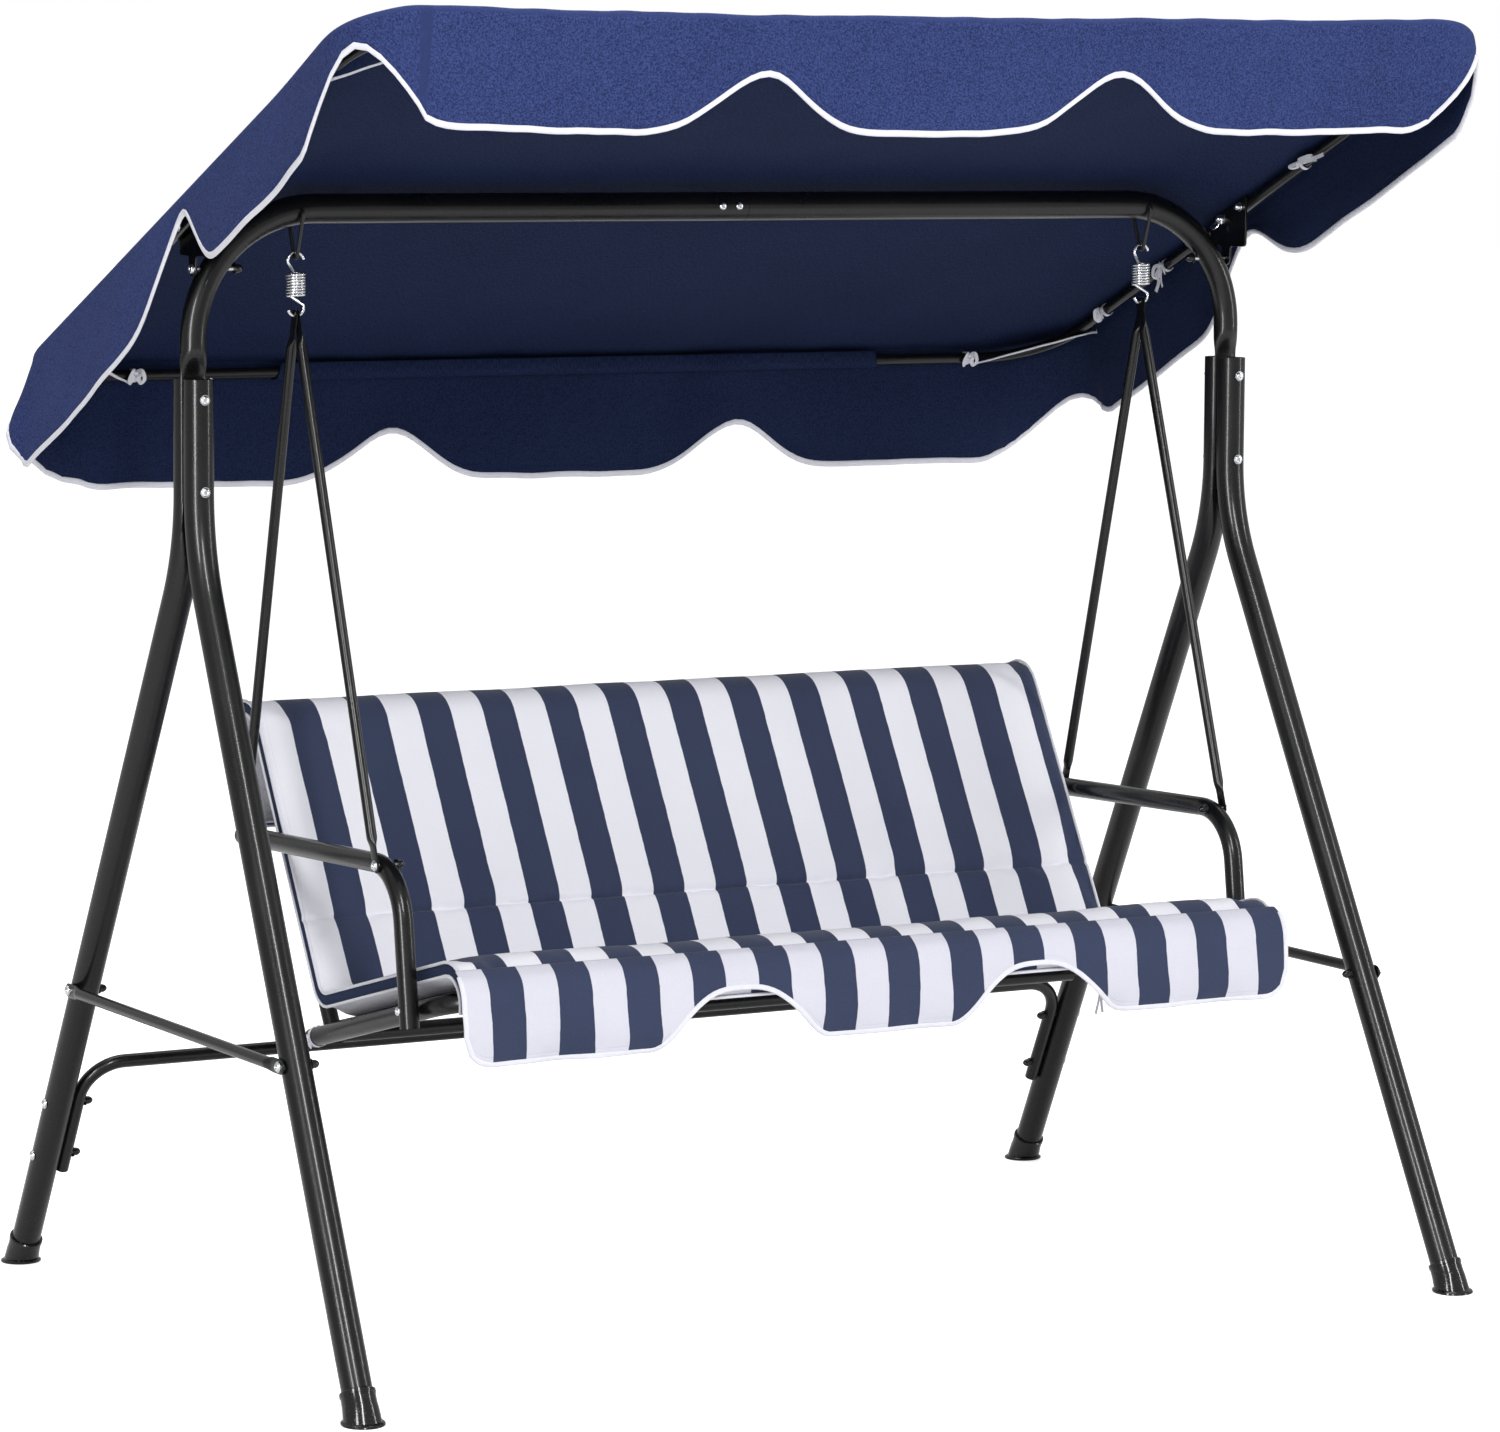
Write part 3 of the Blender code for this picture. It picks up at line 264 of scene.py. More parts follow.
def soft_light(name, place, target, size, watts, spreads):
    data = bpy.data.lights.new(name, "AREA")
    data.shape = "RECTANGLE"
    data.size, data.size_y = size
    data.energy = watts
    light = bpy.data.objects.new(name, data)
    bpy.context.scene.collection.objects.link(light)
    facing = (Vector(target) - Vector(place)).to_track_quat("-Z", "Y")
    light.matrix_world = Matrix.Translation(place) @ facing.to_matrix().to_4x4()
    light.visible_diffuse = spreads


def make_studio():
    """White surroundings, soft lights and a pale floor."""
    world = bpy.data.worlds.new("studio")
    bpy.context.scene.world = world
    world.use_nodes = True
    nodes, links = world.node_tree.nodes, world.node_tree.links
    sky = nodes["Background"]
    sky.inputs["Color"].default_value = (1.0, 1.0, 1.0, 1.0)
    seen = nodes.new("ShaderNodeLightPath")
    strength = nodes.new("ShaderNodeMapRange")
    strength.inputs["To Min"].default_value = SKY_LIGHT
    strength.inputs["To Max"].default_value = 1.0
    links.new(seen.outputs["Is Camera Ray"], strength.inputs["Value"])
    links.new(strength.outputs["Result"], sky.inputs["Strength"])
    bpy.context.scene.view_settings.view_transform = "Standard"
    for light in AREA_LIGHTS:
        soft_light(*light)
    mesh = bpy.data.meshes.new("floor")
    corners = [(x * FLOOR_REACH, y * FLOOR_REACH, 0) for x, y in ((-1, -1), (1, -1), (1, 1), (-1, 1))]
    mesh.from_pydata(corners, [], [(0, 1, 2, 3)])
    floor = bpy.data.objects.new("floor", mesh)
    bpy.context.scene.collection.objects.link(floor)
    pale = Finish("pale_floor")
    pale.set(Roughness=0.9)
    grain = pale.noise(pale.place(), 60.0)
    pale.link("Base Color", pale.mix(grain, (0.93, 0.93, 0.93), (0.97, 0.97, 0.97)))
    pale.set(Emission_Color=(1.0, 1.0, 1.0, 1.0))
    looked_at = pale.tree.nodes.new("ShaderNodeLightPath").outputs["Is Camera Ray"]
    pale.link("Emission Strength", pale.math("MULTIPLY", looked_at, FLOOR_GLOW))
    mesh.materials.append(pale.material)


# ---------------------------------------------------------------- materials
class Finish:
    """A material and short ways to add and join its nodes."""

    def __init__(self, name):
        self.material = bpy.data.materials.new(name)
        self.material.use_nodes = True
        self.tree = self.material.node_tree
        self.shader = self.tree.nodes["Principled BSDF"]

    def set(self, **values):
        for name, value in values.items():
            self.shader.inputs[name.replace("_", " ")].default_value = value

    def link(self, name, socket):
        self.tree.links.new(socket, self.shader.inputs[name])

    def feed(self, node, index, value):
        if isinstance(value, bpy.types.NodeSocket):
            self.tree.links.new(value, node.inputs[index])
        elif isinstance(value, tuple) and len(value) == 3 and node.inputs[index].type == "RGBA":
            node.inputs[index].default_value = (*value, 1.0)
        else:
            node.inputs[index].default_value = value

    def place(self):
        return self.tree.nodes.new("ShaderNodeTexCoord").outputs["Object"]

    def cloth(self):
        """The cloth's own coordinates: across, along and distance from its edge, in metres."""
        node = self.tree.nodes.new("ShaderNodeAttribute")
        node.attribute_name = "cloth"
        split = self.tree.nodes.new("ShaderNodeSeparateXYZ")
        self.tree.links.new(node.outputs["Vector"], split.inputs[0])
        return node.outputs["Vector"], split.outputs

    def noise(self, vector, scale, detail=2.0):
        node = self.tree.nodes.new("ShaderNodeTexNoise")
        self.feed(node, "Vector", vector)
        node.inputs["Scale"].default_value = scale
        node.inputs["Detail"].default_value = detail
        return node.outputs["Fac"]

    def math(self, operation, a, b=0.0, c=0.0):
        node = self.tree.nodes.new("ShaderNodeMath")
        node.operation = operation
        for index, value in enumerate((a, b, c)):
            self.feed(node, index, value)
        return node.outputs[0]

    def span(self, value, low, high, new_low=0.0, new_high=1.0, smooth=True):
        node = self.tree.nodes.new("ShaderNodeMapRange")
        node.interpolation_type = "SMOOTHSTEP" if smooth else "LINEAR"
        for index, item in enumerate((value, low, high, new_low, new_high)):
            self.feed(node, index, item)
        return node.outputs[0]

    def mix(self, share, a, b):
        node = self.tree.nodes.new("ShaderNodeMix")
        node.data_type = "RGBA"
        self.feed(node, 0, share)
        self.feed(node, 6, a)
        self.feed(node, 7, b)
        return node.outputs[2]

    def stretch(self, vector, scale):
        node = self.tree.nodes.new("ShaderNodeMapping")
        self.feed(node, "Vector", vector)
        node.inputs["Scale"].default_value = scale
        return node.outputs[0]

    def bump(self, height, distance, strength=1.0):
        node = self.tree.nodes.new("ShaderNodeBump")
        node.inputs["Strength"].default_value = strength
        node.inputs["Distance"].default_value = distance
        self.feed(node, "Height", height)
        self.link("Normal", node.outputs[0])

    def weave(self, across, along, pitch):
        """Height of a plain weave whose threads repeat every pitch metres."""
        turn = 2 * math.pi / pitch
        warp = self.math("SINE", self.math("MULTIPLY", across, turn))
        weft = self.math("SINE", self.math("MULTIPLY", along, turn))
        product = self.math("MULTIPLY", warp, weft)
        return self.math("MULTIPLY_ADD", product, 0.5, 0.5)

    def sewn(self, from_edge, yarn, weave, stitch_at, edges):
        """Height of woven cloth with a stitched line at a distance from its edge."""
        away = self.math("ABSOLUTE", self.math("SUBTRACT", from_edge, stitch_at))
        cloth = self.math("MULTIPLY_ADD", yarn, 0.8, weave)
        return self.math("ADD", cloth, self.math("MULTIPLY", self.span(away, *edges), 1.6))


def powder_coat(name, dark, light, rough):
    """Baked powder paint: fine orange peel, soft clouds of gloss and a few rubbed specks."""
    coat = Finish(name)
    coat.set(Metallic=0.0, IOR=1.33, Coat_Weight=0.30, Coat_Roughness=0.10, Coat_IOR=1.45)
    place = coat.place()
    cloud = coat.noise(place, 7.0, 3.0)
    speck = coat.span(coat.noise(place, 420.0, 2.0), 0.62, 0.74)
    colour = coat.mix(cloud, dark, light)
    coat.link("Base Color", coat.mix(coat.math("MULTIPLY", speck, 0.35), colour, (0.05, 0.052, 0.054)))
    coat.link("Roughness", coat.span(cloud, 0.3, 0.7, rough - 0.05, rough + 0.06))
    peel = coat.math("ADD", coat.noise(place, 900.0, 1.0), coat.noise(place, 260.0, 1.0))
    coat.bump(peel, 0.00022, 0.5)
    return coat.material


def moulded_plastic(name, colour, rough):
    """Glossy moulded plastic with faint flow marks and scuffs."""
    shell = Finish(name)
    shell.set(IOR=1.46)
    place = shell.place()
    flow = shell.noise(shell.stretch(place, (1.0, 1.0, 4.0)), 60.0, 3.0)
    scuff = shell.span(shell.noise(place, 330.0, 3.0), 0.55, 0.75)
    shell.link("Base Color", shell.mix(scuff, colour, tuple(c * 2.4 + 0.004 for c in colour)))
    shell.link("Roughness", shell.span(scuff, 0.0, 1.0, rough, rough + 0.22))
    shell.bump(flow, 0.0003, 0.3)
    return shell.material


def zinc_plate(name):
    """Bright zinc: turning marks, slightly uneven gloss and a cool tint."""
    plate = Finish(name)
    plate.set(Metallic=1.0)
    place = plate.place()
    cloud = plate.noise(place, 240.0, 3.0)
    plate.link("Base Color", plate.mix(cloud, (0.56, 0.58, 0.61), (0.86, 0.87, 0.88)))
    plate.link("Roughness", plate.span(cloud, 0.3, 0.7, 0.16, 0.34))
    plate.bump(plate.noise(place, 1500.0, 1.0), 0.00005, 0.5)
    return plate.material


def plain_cloth(name, dark, light, speckle=(0.35, 0.65), yarns=620.0):
    """Woven cloth of one colour, with uneven yarns and a hem stitch near its edge."""
    cloth = Finish(name)
    cloth.set(Roughness=0.82, Sheen_Weight=0.05, Sheen_Roughness=0.45, IOR=1.22)
    cloth.shader.inputs["Sheen Tint"].default_value = (*light, 1.0)
    vector, axes = cloth.cloth()
    yarn = cloth.noise(cloth.stretch(vector, (1.0, 0.45, 1.0)), yarns, 2.0)
    cloud = cloth.noise(vector, 5.0, 3.0)
    spots = cloth.math("MULTIPLY", cloth.span(yarn, *speckle), 0.7)
    share = cloth.math("MULTIPLY_ADD", cloud, 0.30, spots)
    cloth.link("Base Color", cloth.mix(share, dark, light))
    weave = cloth.weave(axes[0], axes[1], 0.0011)
    cloth.bump(cloth.sewn(axes[2], yarn, weave, HEM_STITCH, (0.0004, 0.0016)), 0.00035, 0.7)
    return cloth.material


def striped_cloth(name, shift, white, navy):
    """Cotton-look cloth with wide navy and off-white stripes, woven slightly unevenly."""
    cloth = Finish(name)
    cloth.set(Roughness=0.86, Sheen_Weight=0.12, Sheen_Roughness=0.5, IOR=1.4)
    vector, axes = cloth.cloth()
    wobble = cloth.math("MULTIPLY", cloth.math("SUBTRACT", cloth.noise(vector, 45.0, 2.0), 0.5), 0.0016)
    from_start = shift - STRIPE_START + 40 * STRIPE_PITCH
    across = cloth.math("ADD", cloth.math("ADD", axes[0], wobble), from_start)
    turn = cloth.math("FRACT", cloth.math("DIVIDE", across, STRIPE_PITCH))
    from_middle = cloth.math("ABSOLUTE", cloth.math("SUBTRACT", turn, 0.25))
    wrapped = cloth.math("MINIMUM", from_middle, cloth.math("SUBTRACT", 1.0, from_middle))
    blue = cloth.span(wrapped, 0.2455, 0.2545, 1.0, 0.0)
    yarn = cloth.noise(cloth.stretch(vector, (1.0, 0.5, 1.0)), 560.0, 2.0)
    cloud = cloth.noise(vector, 6.0, 2.0)
    shade = cloth.math("MULTIPLY_ADD", cloud, 0.35, cloth.math("MULTIPLY", yarn, 0.65))
    cloth.link("Base Color", cloth.mix(blue, cloth.mix(shade, *white), cloth.mix(shade, *navy)))
    weave = cloth.weave(axes[0], axes[1], 0.0012)
    cloth.bump(cloth.sewn(axes[2], yarn, weave, PAD_STITCH, (0.0003, 0.0014)), 0.0003, 0.7)
    return cloth.material


def binding_tape(name, colour):
    """Narrow woven tape: ribs across it and slightly soiled hollows."""
    tape = Finish(name)
    tape.set(Roughness=0.8, Sheen_Weight=0.1)
    place = tape.place()
    soil = tape.noise(place, 90.0, 3.0)
    tape.link("Base Color", tape.mix(soil, tuple(c * 0.86 for c in colour), colour))
    tape.bump(tape.noise(place, 1400.0, 2.0), 0.0002, 0.6)
    return tape.material


def make_materials():
    seat_navy = (0.013, 0.022, 0.060), (0.036, 0.052, 0.118)
    canopy_yarns = (0.30, 0.70), 470.0
    pad_white = (0.84, 0.84, 0.93), (0.94, 0.94, 0.99)
    # painted shade: the valance's white is a darker copy of the pad's white on the same striped cloth,
    # dimming the valance where the lights fall on it squarely
    apron_white_painted_shade = (0.60, 0.60, 0.69), (0.74, 0.74, 0.82)
    return {
        "coat": powder_coat("satin_black_powder_coat", (0.0036, 0.0037, 0.0039),
                            (0.0066, 0.0068, 0.0071), 0.30),
        "wire": powder_coat("dipped_black_wire", (0.010, 0.010, 0.011), (0.016, 0.016, 0.017), 0.42),
        "cap": moulded_plastic("gloss_black_plastic", (0.008, 0.008, 0.0085), 0.14),
        "zinc": zinc_plate("bright_zinc_plate"),
        "navy": plain_cloth("navy_canopy_cloth", (0.007, 0.012, 0.056), (0.050, 0.078, 0.248),
                            *canopy_yarns),
        # painted shade: a darker copy of the navy canopy cloth for the cover's underside, its pockets and its
        # sleeve, which lie in shade
        "inside": plain_cloth("navy_canopy_cloth_painted_shade_inside", (0.002, 0.006, 0.026), (0.012, 0.024, 0.080),
                              *canopy_yarns),
        "gusset": plain_cloth("navy_cushion_cloth", *seat_navy),
        "back_cloth": plain_cloth("off_white_lining", (0.66, 0.66, 0.72), (0.84, 0.84, 0.90)),
        "stripe": striped_cloth("striped_cushion_cloth", 0.0, pad_white, seat_navy),
        # stripes with the darker white painted as shade
        "apron": striped_cloth("striped_valance_cloth", APRON_STRIPE_SHIFT, apron_white_painted_shade, seat_navy),
        "sling": plain_cloth("dark_sling_cloth", (0.010, 0.011, 0.016), (0.030, 0.033, 0.046)),
        "tape": binding_tape("white_binding_tape", (0.80, 0.80, 0.87)),
    }


# ---------------------------------------------------------------- mesh helpers
def smooth_step(value):
    value = min(max(value, 0.0), 1.0)
    return value * value * (3 - 2 * value)


def round_rise(away, roundness):
    """1 at 0 with a round top, falling softly to 0 at 1 and beyond."""
    return 1 - smooth_step(min(away, 1.0) ** roundness)


def wave(x, y, seed):
    """Smooth noise from -1 to 1 at a point, the same each run."""
    return noise.noise(Vector((x, y, seed)))


def rounded_path(corners, radius, steps=14):
    """Polyline through the corners, each inner corner replaced by an arc."""
    corners = [Vector(c) for c in corners]
    path = [corners[0]]
    for before, corner, after in zip(corners, corners[1:], corners[2:]):
        a = (before - corner).normalized()
        b = (after - corner).normalized()
        half = a.angle(b) / 2
        reach = radius / math.tan(half)
        centre = corner + (a + b).normalized() * (radius / math.sin(half))
        start = corner + a * reach - centre
        turn = math.pi - 2 * half
        axis = start.cross(corner + b * reach - centre).normalized()
        for i in range(steps + 1):
            path.append(centre + Matrix.Rotation(turn * i / steps, 3, axis) @ start)
    path.append(corners[-1])
    return path


def smooth_path(points, per_span=8, closed=False):
    """Points on a smooth curve through the given ones."""
    points = [Vector(p) for p in points]
    count = len(points)
    path = []
    for i in range(count if closed else count - 1):
        if closed:
            a, b, c, d = (points[(i + k) % count] for k in (-1, 0, 1, 2))
        else:
            a, b = points[max(i - 1, 0)], points[i]
            c, d = points[i + 1], points[min(i + 2, count - 1)]
        for k in range(per_span):
            t = k / per_span
            path.append(0.5 * (2 * b + (c - a) * t + (2 * a - 5 * b + 4 * c - d) * t * t
                               + (3 * b - a - 3 * c + d) * t ** 3))
    if not closed:
        path.append(points[-1])
    return path


def grid_faces(rows, columns, closed=False):
    faces = []
    for i in range(rows - 1):
        for k in range(columns if closed else columns - 1):
            n = (k + 1) % columns
            faces.append((i * columns + k, i * columns + n, (i + 1) * columns + n, (i + 1) * columns + k))
    return faces


def tube_faces(rings, count, loop=False):
    """Quads round a stack of rings, which is joined up as a loop or closed by two end faces."""
    faces = grid_faces(rings, count, closed=True)
    last = (rings - 1) * count
    if loop:
        return faces + [(last + k, last + (k + 1) % count, (k + 1) % count, k) for k in range(count)]
    return faces + [tuple(reversed(range(count))), tuple(range(last, last + count))]


def grid_rim(rows, columns):
    """Row and column of each point round the edge of a grid, once round."""
    last = rows - 1
    rim = [(0, k) for k in range(columns)] + [(i, columns - 1) for i in range(1, rows)]
    rim += [(last, k) for k in range(columns - 2, -1, -1)]
    return rim + [(i, 0) for i in range(last - 1, 0, -1)]


def frames_along(path, first_side, loop=False):
    """Side and up vectors at each point, carried along without twist."""
    frames = []
    side = Vector(first_side)
    last = len(path) - 1
    for i, point in enumerate(path):
        ahead = path[(i + 1) % len(path)] if loop else path[min(i + 1, last)]
        behind = path[i - 1] if loop or i > 0 else path[0]
        tangent = ((ahead - point).normalized() + (point - behind).normalized()).normalized()
        side = (side - tangent * side.dot(tangent)).normalized()
        frames.append((side, tangent.cross(side)))
    return frames


def oval(half_side, half_up, count, flat=None):
    """Ellipse, cut off at -flat on the up axis when flat is given."""
    ring = []
    for i in range(count):
        angle = 2 * math.pi * (i + 0.5) / count
        up = half_up * math.sin(angle)
        if flat is not None:
            up = max(up, -flat)
        ring.append((half_side * math.cos(angle), up))
    return ring


def sweep(path, sections, first_side, wall=0.0, count=28, loop=False):
    """Tube along the path as (points, faces). A section is (half_side, half_up, flat)."""
    frames = frames_along(path, first_side, loop)
    points = []

    def add_ring(index, inset):
        half_side, half_up, flat = sections[index]
        cut = None if flat is None else flat - inset
        side, up = frames[index]
        for u, v in oval(half_side - inset, half_up - inset, count, cut):
            points.append(path[index] + side * u + up * v)

    for i in range(len(path)):
        add_ring(i, 0.0)
    if wall:
        for i in reversed(range(len(path))):
            add_ring(i, wall)
    return points, tube_faces(len(points) // count, count, loop or bool(wall))


def turned(base, axis, profile, count=28):
    """Solid of revolution as (points, faces); profile is (distance along the axis, radius)."""
    axis = Vector(axis).normalized()
    side = axis.orthogonal().normalized()
    up = axis.cross(side)
    points = []
    for distance, radius in profile:
        for k in range(count):
            angle = 2 * math.pi * k / count
            spoke = side * math.cos(angle) + up * math.sin(angle)
            points.append(Vector(base) + axis * distance + spoke * radius)
    return points, tube_faces(len(profile), count)


def place_piece(name, mesh, body, nodes):
    """Add a mesh to the scene as a piece that rides on a body in place of the CAD nodes."""
    piece = bpy.data.objects.new(name, mesh)
    bpy.context.scene.collection.objects.link(piece)
    if body:
        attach(piece, body)
    if nodes:
        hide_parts(*nodes)
    return piece


def build(name, shells, body, nodes=(), sharp=40):
    """One piece from closed shells [(points, faces, material)], riding on a body."""
    points, faces, which, mats = [], [], [], []
    for shell_points, shell_faces, mat in shells:
        if mat not in mats:
            mats.append(mat)
        start = len(points)
        points += [tuple(p) for p in shell_points]
        faces += [tuple(start + k for k in face) for face in shell_faces]
        which += [mats.index(mat)] * len(shell_faces)
    mesh = bpy.data.meshes.new(name)
    mesh.from_pydata(points, [], faces)
    for mat in mats:
        mesh.materials.append(mat)
    mesh.polygons.foreach_set("material_index", which)
    work = bmesh.new()
    work.from_mesh(mesh)
    bmesh.ops.recalc_face_normals(work, faces=work.faces)
    work.to_mesh(mesh)
    work.free()
    mesh.shade_smooth()
    mesh.set_sharp_from_angle(angle=math.radians(sharp))
    return place_piece(name, mesh, body, nodes)


def even_sections(path, radius):
    return [(radius, radius, None)] * len(path)


def flattened_tube(path, radius, thin, ends, round_tip=True, count=24):
    """Round tube whose ends are pressed flat: ends maps 0 or -1 to the flat's length."""
    path = [Vector(p) for p in path]
    sections = even_sections(path, radius)
    wide = radius * 1.28
    for end, length in ends.items():
        line = path if end == 0 else path[::-1]
        shape = sections if end == 0 else sections[::-1]
        way = (line[1] - line[0]).normalized()
        taper = 2.4 * radius
        new_line, new_shape = [], []
        tips = (0.0, 0.12, 0.3, 0.6, 1.0) if round_tip else (0.0,)
        for share in tips:
            distance = share * wide
            half = math.sqrt(max(0.0, 1 - (1 - share) ** 2)) if round_tip else 1.0
            new_line.append(line[0] + way * distance)
            new_shape.append((thin, max(wide * half, wide * 0.18), None))
        for k in range(9):
            ease = smooth_step(k / 8)
            new_line.append(line[0] + way * (length + taper * k / 8))
            new_shape.append((thin + (radius - thin) * ease, wide + (radius - wide) * ease, None))
        line = new_line + line[1:]
        shape = new_shape + shape[1:]
        path = line if end == 0 else line[::-1]
        sections = shape if end == 0 else shape[::-1]
    return sweep(path, sections, (1, 0, 0), 0.0, count)


def round_head(face, outward, radius, height):
    """Button head with a round socket; face is the point under it."""
    shares = ((0.0, 1.0), (0.35, 1.0), (0.75, 0.86), (0.96, 0.62), (1.0, 0.46), (0.5, 0.40))
    return turned(face, outward, [(height * h, radius * r) for h, r in shares], 24)


def cap_nut(face, outward, radius, height):
    """Domed nut cap on a round flange."""
    profile = [(0.0, radius * 1.25), (0.0012, radius * 1.25), (0.0014, radius)]
    profile += [(height * h, radius * r) for h, r in ((0.55, 0.95), (0.82, 0.70), (0.97, 0.35), (1.0, 0.12))]
    return turned(face, outward, profile, 20)


def dress_bolt(node, body, axis, outward, mats, nut="cap"):
    """Fine bolt over a CAD bolt; axis 0 or 1 is its direction, outward the head's sign on it."""
    low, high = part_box(node)
    middle = (low + high) / 2
    head_length, nut_length, head_radius = 0.0036, 0.0115, 0.0057
    out = Vector((0, 0, 0))
    out[axis] = outward
    head, foot = middle.copy(), middle.copy()
    head[axis] = (high[axis] - head_length) if outward > 0 else (low[axis] + head_length)
    foot[axis] = (low[axis] + nut_length) if outward > 0 else (high[axis] - nut_length)
    shank = turned(foot - out * 0.001, out, [(0, 0.0029), ((head - foot).length + 0.002, 0.0029)], 16)
    nut_mat = mats["cap"] if nut == "cap" else mats["zinc"]
    shells = [(*shank, mats["zinc"]),
              (*round_head(head + out * 0.0008, out, head_radius, head_length - 0.0008), mats["zinc"]),
              (*turned(head, out, [(0.0, 0.0068), (0.0009, 0.0066)], 24), mats["zinc"]),
              (*cap_nut(foot, -out, 0.0056, nut_length), nut_mat)]
    build(node + "_fine", shells, body, [node])


# ---------------------------------------------------------------- stand
def leg_axis(side, end, z):
    """Point on a leg's sloped axis; end is -1 at the front and 1 at the rear."""
    slope = (FOOT_Y - LEG_TOP_Y) / LEG_CORNER_Z
    x = LEG_TOP_X + (FOOT_X - LEG_TOP_X) * (1 - z / LEG_CORNER_Z)
    return Vector((side * x, end * (FOOT_Y - slope * z), z))


def make_leg(side, end, mats):
    """Bent tube whose top is pressed to a D against the top tube's foot."""
    ground = leg_axis(side, end, 0.0)
    corner = Vector((side * LEG_TOP_X, end * LEG_TOP_Y, LEG_CORNER_Z))
    start = ground + (corner - ground).normalized() * (CAP_FLOOR + GAP)
    top = Vector((side * LEG_TOP_X, end * LEG_TOP_Y, LEG_TOP_Z))
    steps = 16
    path = rounded_path([start, corner, top], LEG_BEND_RADIUS, steps)
    sections = []
    for i in range(len(path)):
        pressed = smooth_step((i - steps * 0.35) / (steps * 0.5))
        flat = LEG_RADIUS + (LEG_FLAT - LEG_RADIUS) * pressed if pressed > 0 else None
        sections.append((LEG_RADIUS, LEG_RADIUS, flat))
    side_vector = (-1, 0, 0) if end < 0 else (1, 0, 0)
    name = END_NAME[end] + "_leg_" + SIDE_NAME[side]
    shell = sweep(path, sections, side_vector, LEG_WALL, 36)
    build(name + "_fine", [(*shell, mats["coat"])], "stand", [name], 35)


def make_foot_cap(side, end, mats):
    """Plastic cup on the leg's end with a flat round flange on the ground."""
    ground = leg_axis(side, end, 0.0)
    up = (leg_axis(side, end, 0.5) - ground).normalized()
    across = up.orthogonal().normalized()
    other = up.cross(across)
    count = 40
    points = []

    def ring(centre, radius, level):
        for k in range(count):
            angle = 2 * math.pi * k / count
            spoke = across * math.cos(angle) + other * math.sin(angle)
            if level:
                spoke = Vector((spoke.x, spoke.y, 0)).normalized()
            points.append(centre + spoke * radius)

    for height, radius in ((0.0, CAP_FLANGE_RADIUS - 0.0012), (0.0010, CAP_FLANGE_RADIUS),
                           (0.0030, CAP_FLANGE_RADIUS), (0.0042, CAP_FLANGE_RADIUS - 0.0014),
                           (0.0050, CAP_FLANGE_RADIUS - 0.0036)):
        ring(ground + up * (height / up.z), radius, True)
    for distance, radius in ((0.0185, CAP_RADIUS + 0.0009), (0.0240, CAP_RADIUS + 0.0003),
                             (CAP_LENGTH - 0.0065, CAP_RADIUS), (CAP_LENGTH - 0.0060, CAP_RADIUS + 0.0009),
                             (CAP_LENGTH - 0.0012, CAP_RADIUS + 0.0009), (CAP_LENGTH, CAP_RADIUS - 0.0004),
                             (CAP_LENGTH, LEG_RADIUS + GAP), (CAP_FLOOR, LEG_RADIUS + GAP)):
        ring(ground + up * distance, radius, False)
    faces = tube_faces(len(points) // count, count)
    name = END_NAME[end] + "_foot_cap_" + SIDE_NAME[side]
    build(name + "_fine", [(points, faces, mats["cap"])], "stand", [name], 35)


def make_top_tube(side, mats):
    """Half of the top tube: bar, bend, drawn-down post, crimp and flattened foot."""
    x = side * LEG_TOP_X
    joint = TOP_JOINT_X + side * GAP
    steps = 24
    path = rounded_path([(joint, 0, TOP_AXIS_Z), (x, 0, TOP_AXIS_Z), (x, 0, TOP_FOOT_Z)],
                        TOP_BEND_RADIUS, steps)[:-1]
    sections = []
    for i in range(len(path)):
        drawn = smooth_step((i - 1) / (steps * 0.75))
        radius = TOP_RADIUS + (POST_RADIUS - TOP_RADIUS) * drawn
        sections.append((radius, radius, None))
    high, low = CRIMP_Z
    for k in range(9):
        ease = smooth_step(k / 8)
        thin = POST_RADIUS + (PLATE_HALF - POST_RADIUS) * ease
        wide = POST_RADIUS + (TOP_FOOT_HALF_WIDTH - POST_RADIUS) * ease
        path.append(Vector((x, 0, high + (low - high) * k / 8)))
        sections.append((thin, wide + CRIMP_BULGE * math.sin(math.pi * ease), None))
    path.append(Vector((x, 0, TOP_FOOT_Z)))
    sections.append((PLATE_HALF, TOP_FOOT_HALF_WIDTH, None))
    if side > 0:
        neck = TOP_RADIUS - TOP_WALL - GAP
        rim = TOP_RADIUS - 0.0008
        path = [Vector((TOP_JOINT_X - d, 0, TOP_AXIS_Z)) for d in (SPLICE_LENGTH, 0.0008, 0.0)] + path
        sections = [(neck, neck, None)] * 2 + [(rim, rim, None)] + sections
    name = "top_tube_" + SIDE_NAME[side]
    shell = sweep(path, sections, (0, 1, 0), TOP_WALL, 36)
    build(name + "_fine", [(*shell, mats["coat"])], "stand", [name])


def make_side_brace(side, mats):
    leg = leg_axis(side, 1, BRACE_Z)
    x = side * (abs(leg.x) + LEG_RADIUS + GAP + BRACE_PLATE_HALF)
    reach = leg.y + BRACE_OVERHANG
    shell = flattened_tube([(x, -reach, BRACE_Z), (x, reach, BRACE_Z)], BRACE_RADIUS, BRACE_PLATE_HALF,
                           {0: BRACE_PLATE_LENGTH, -1: BRACE_PLATE_LENGTH})
    name = "side_brace_" + SIDE_NAME[side]
    build(name + "_fine", [(*shell, mats["coat"])], "stand", [name])


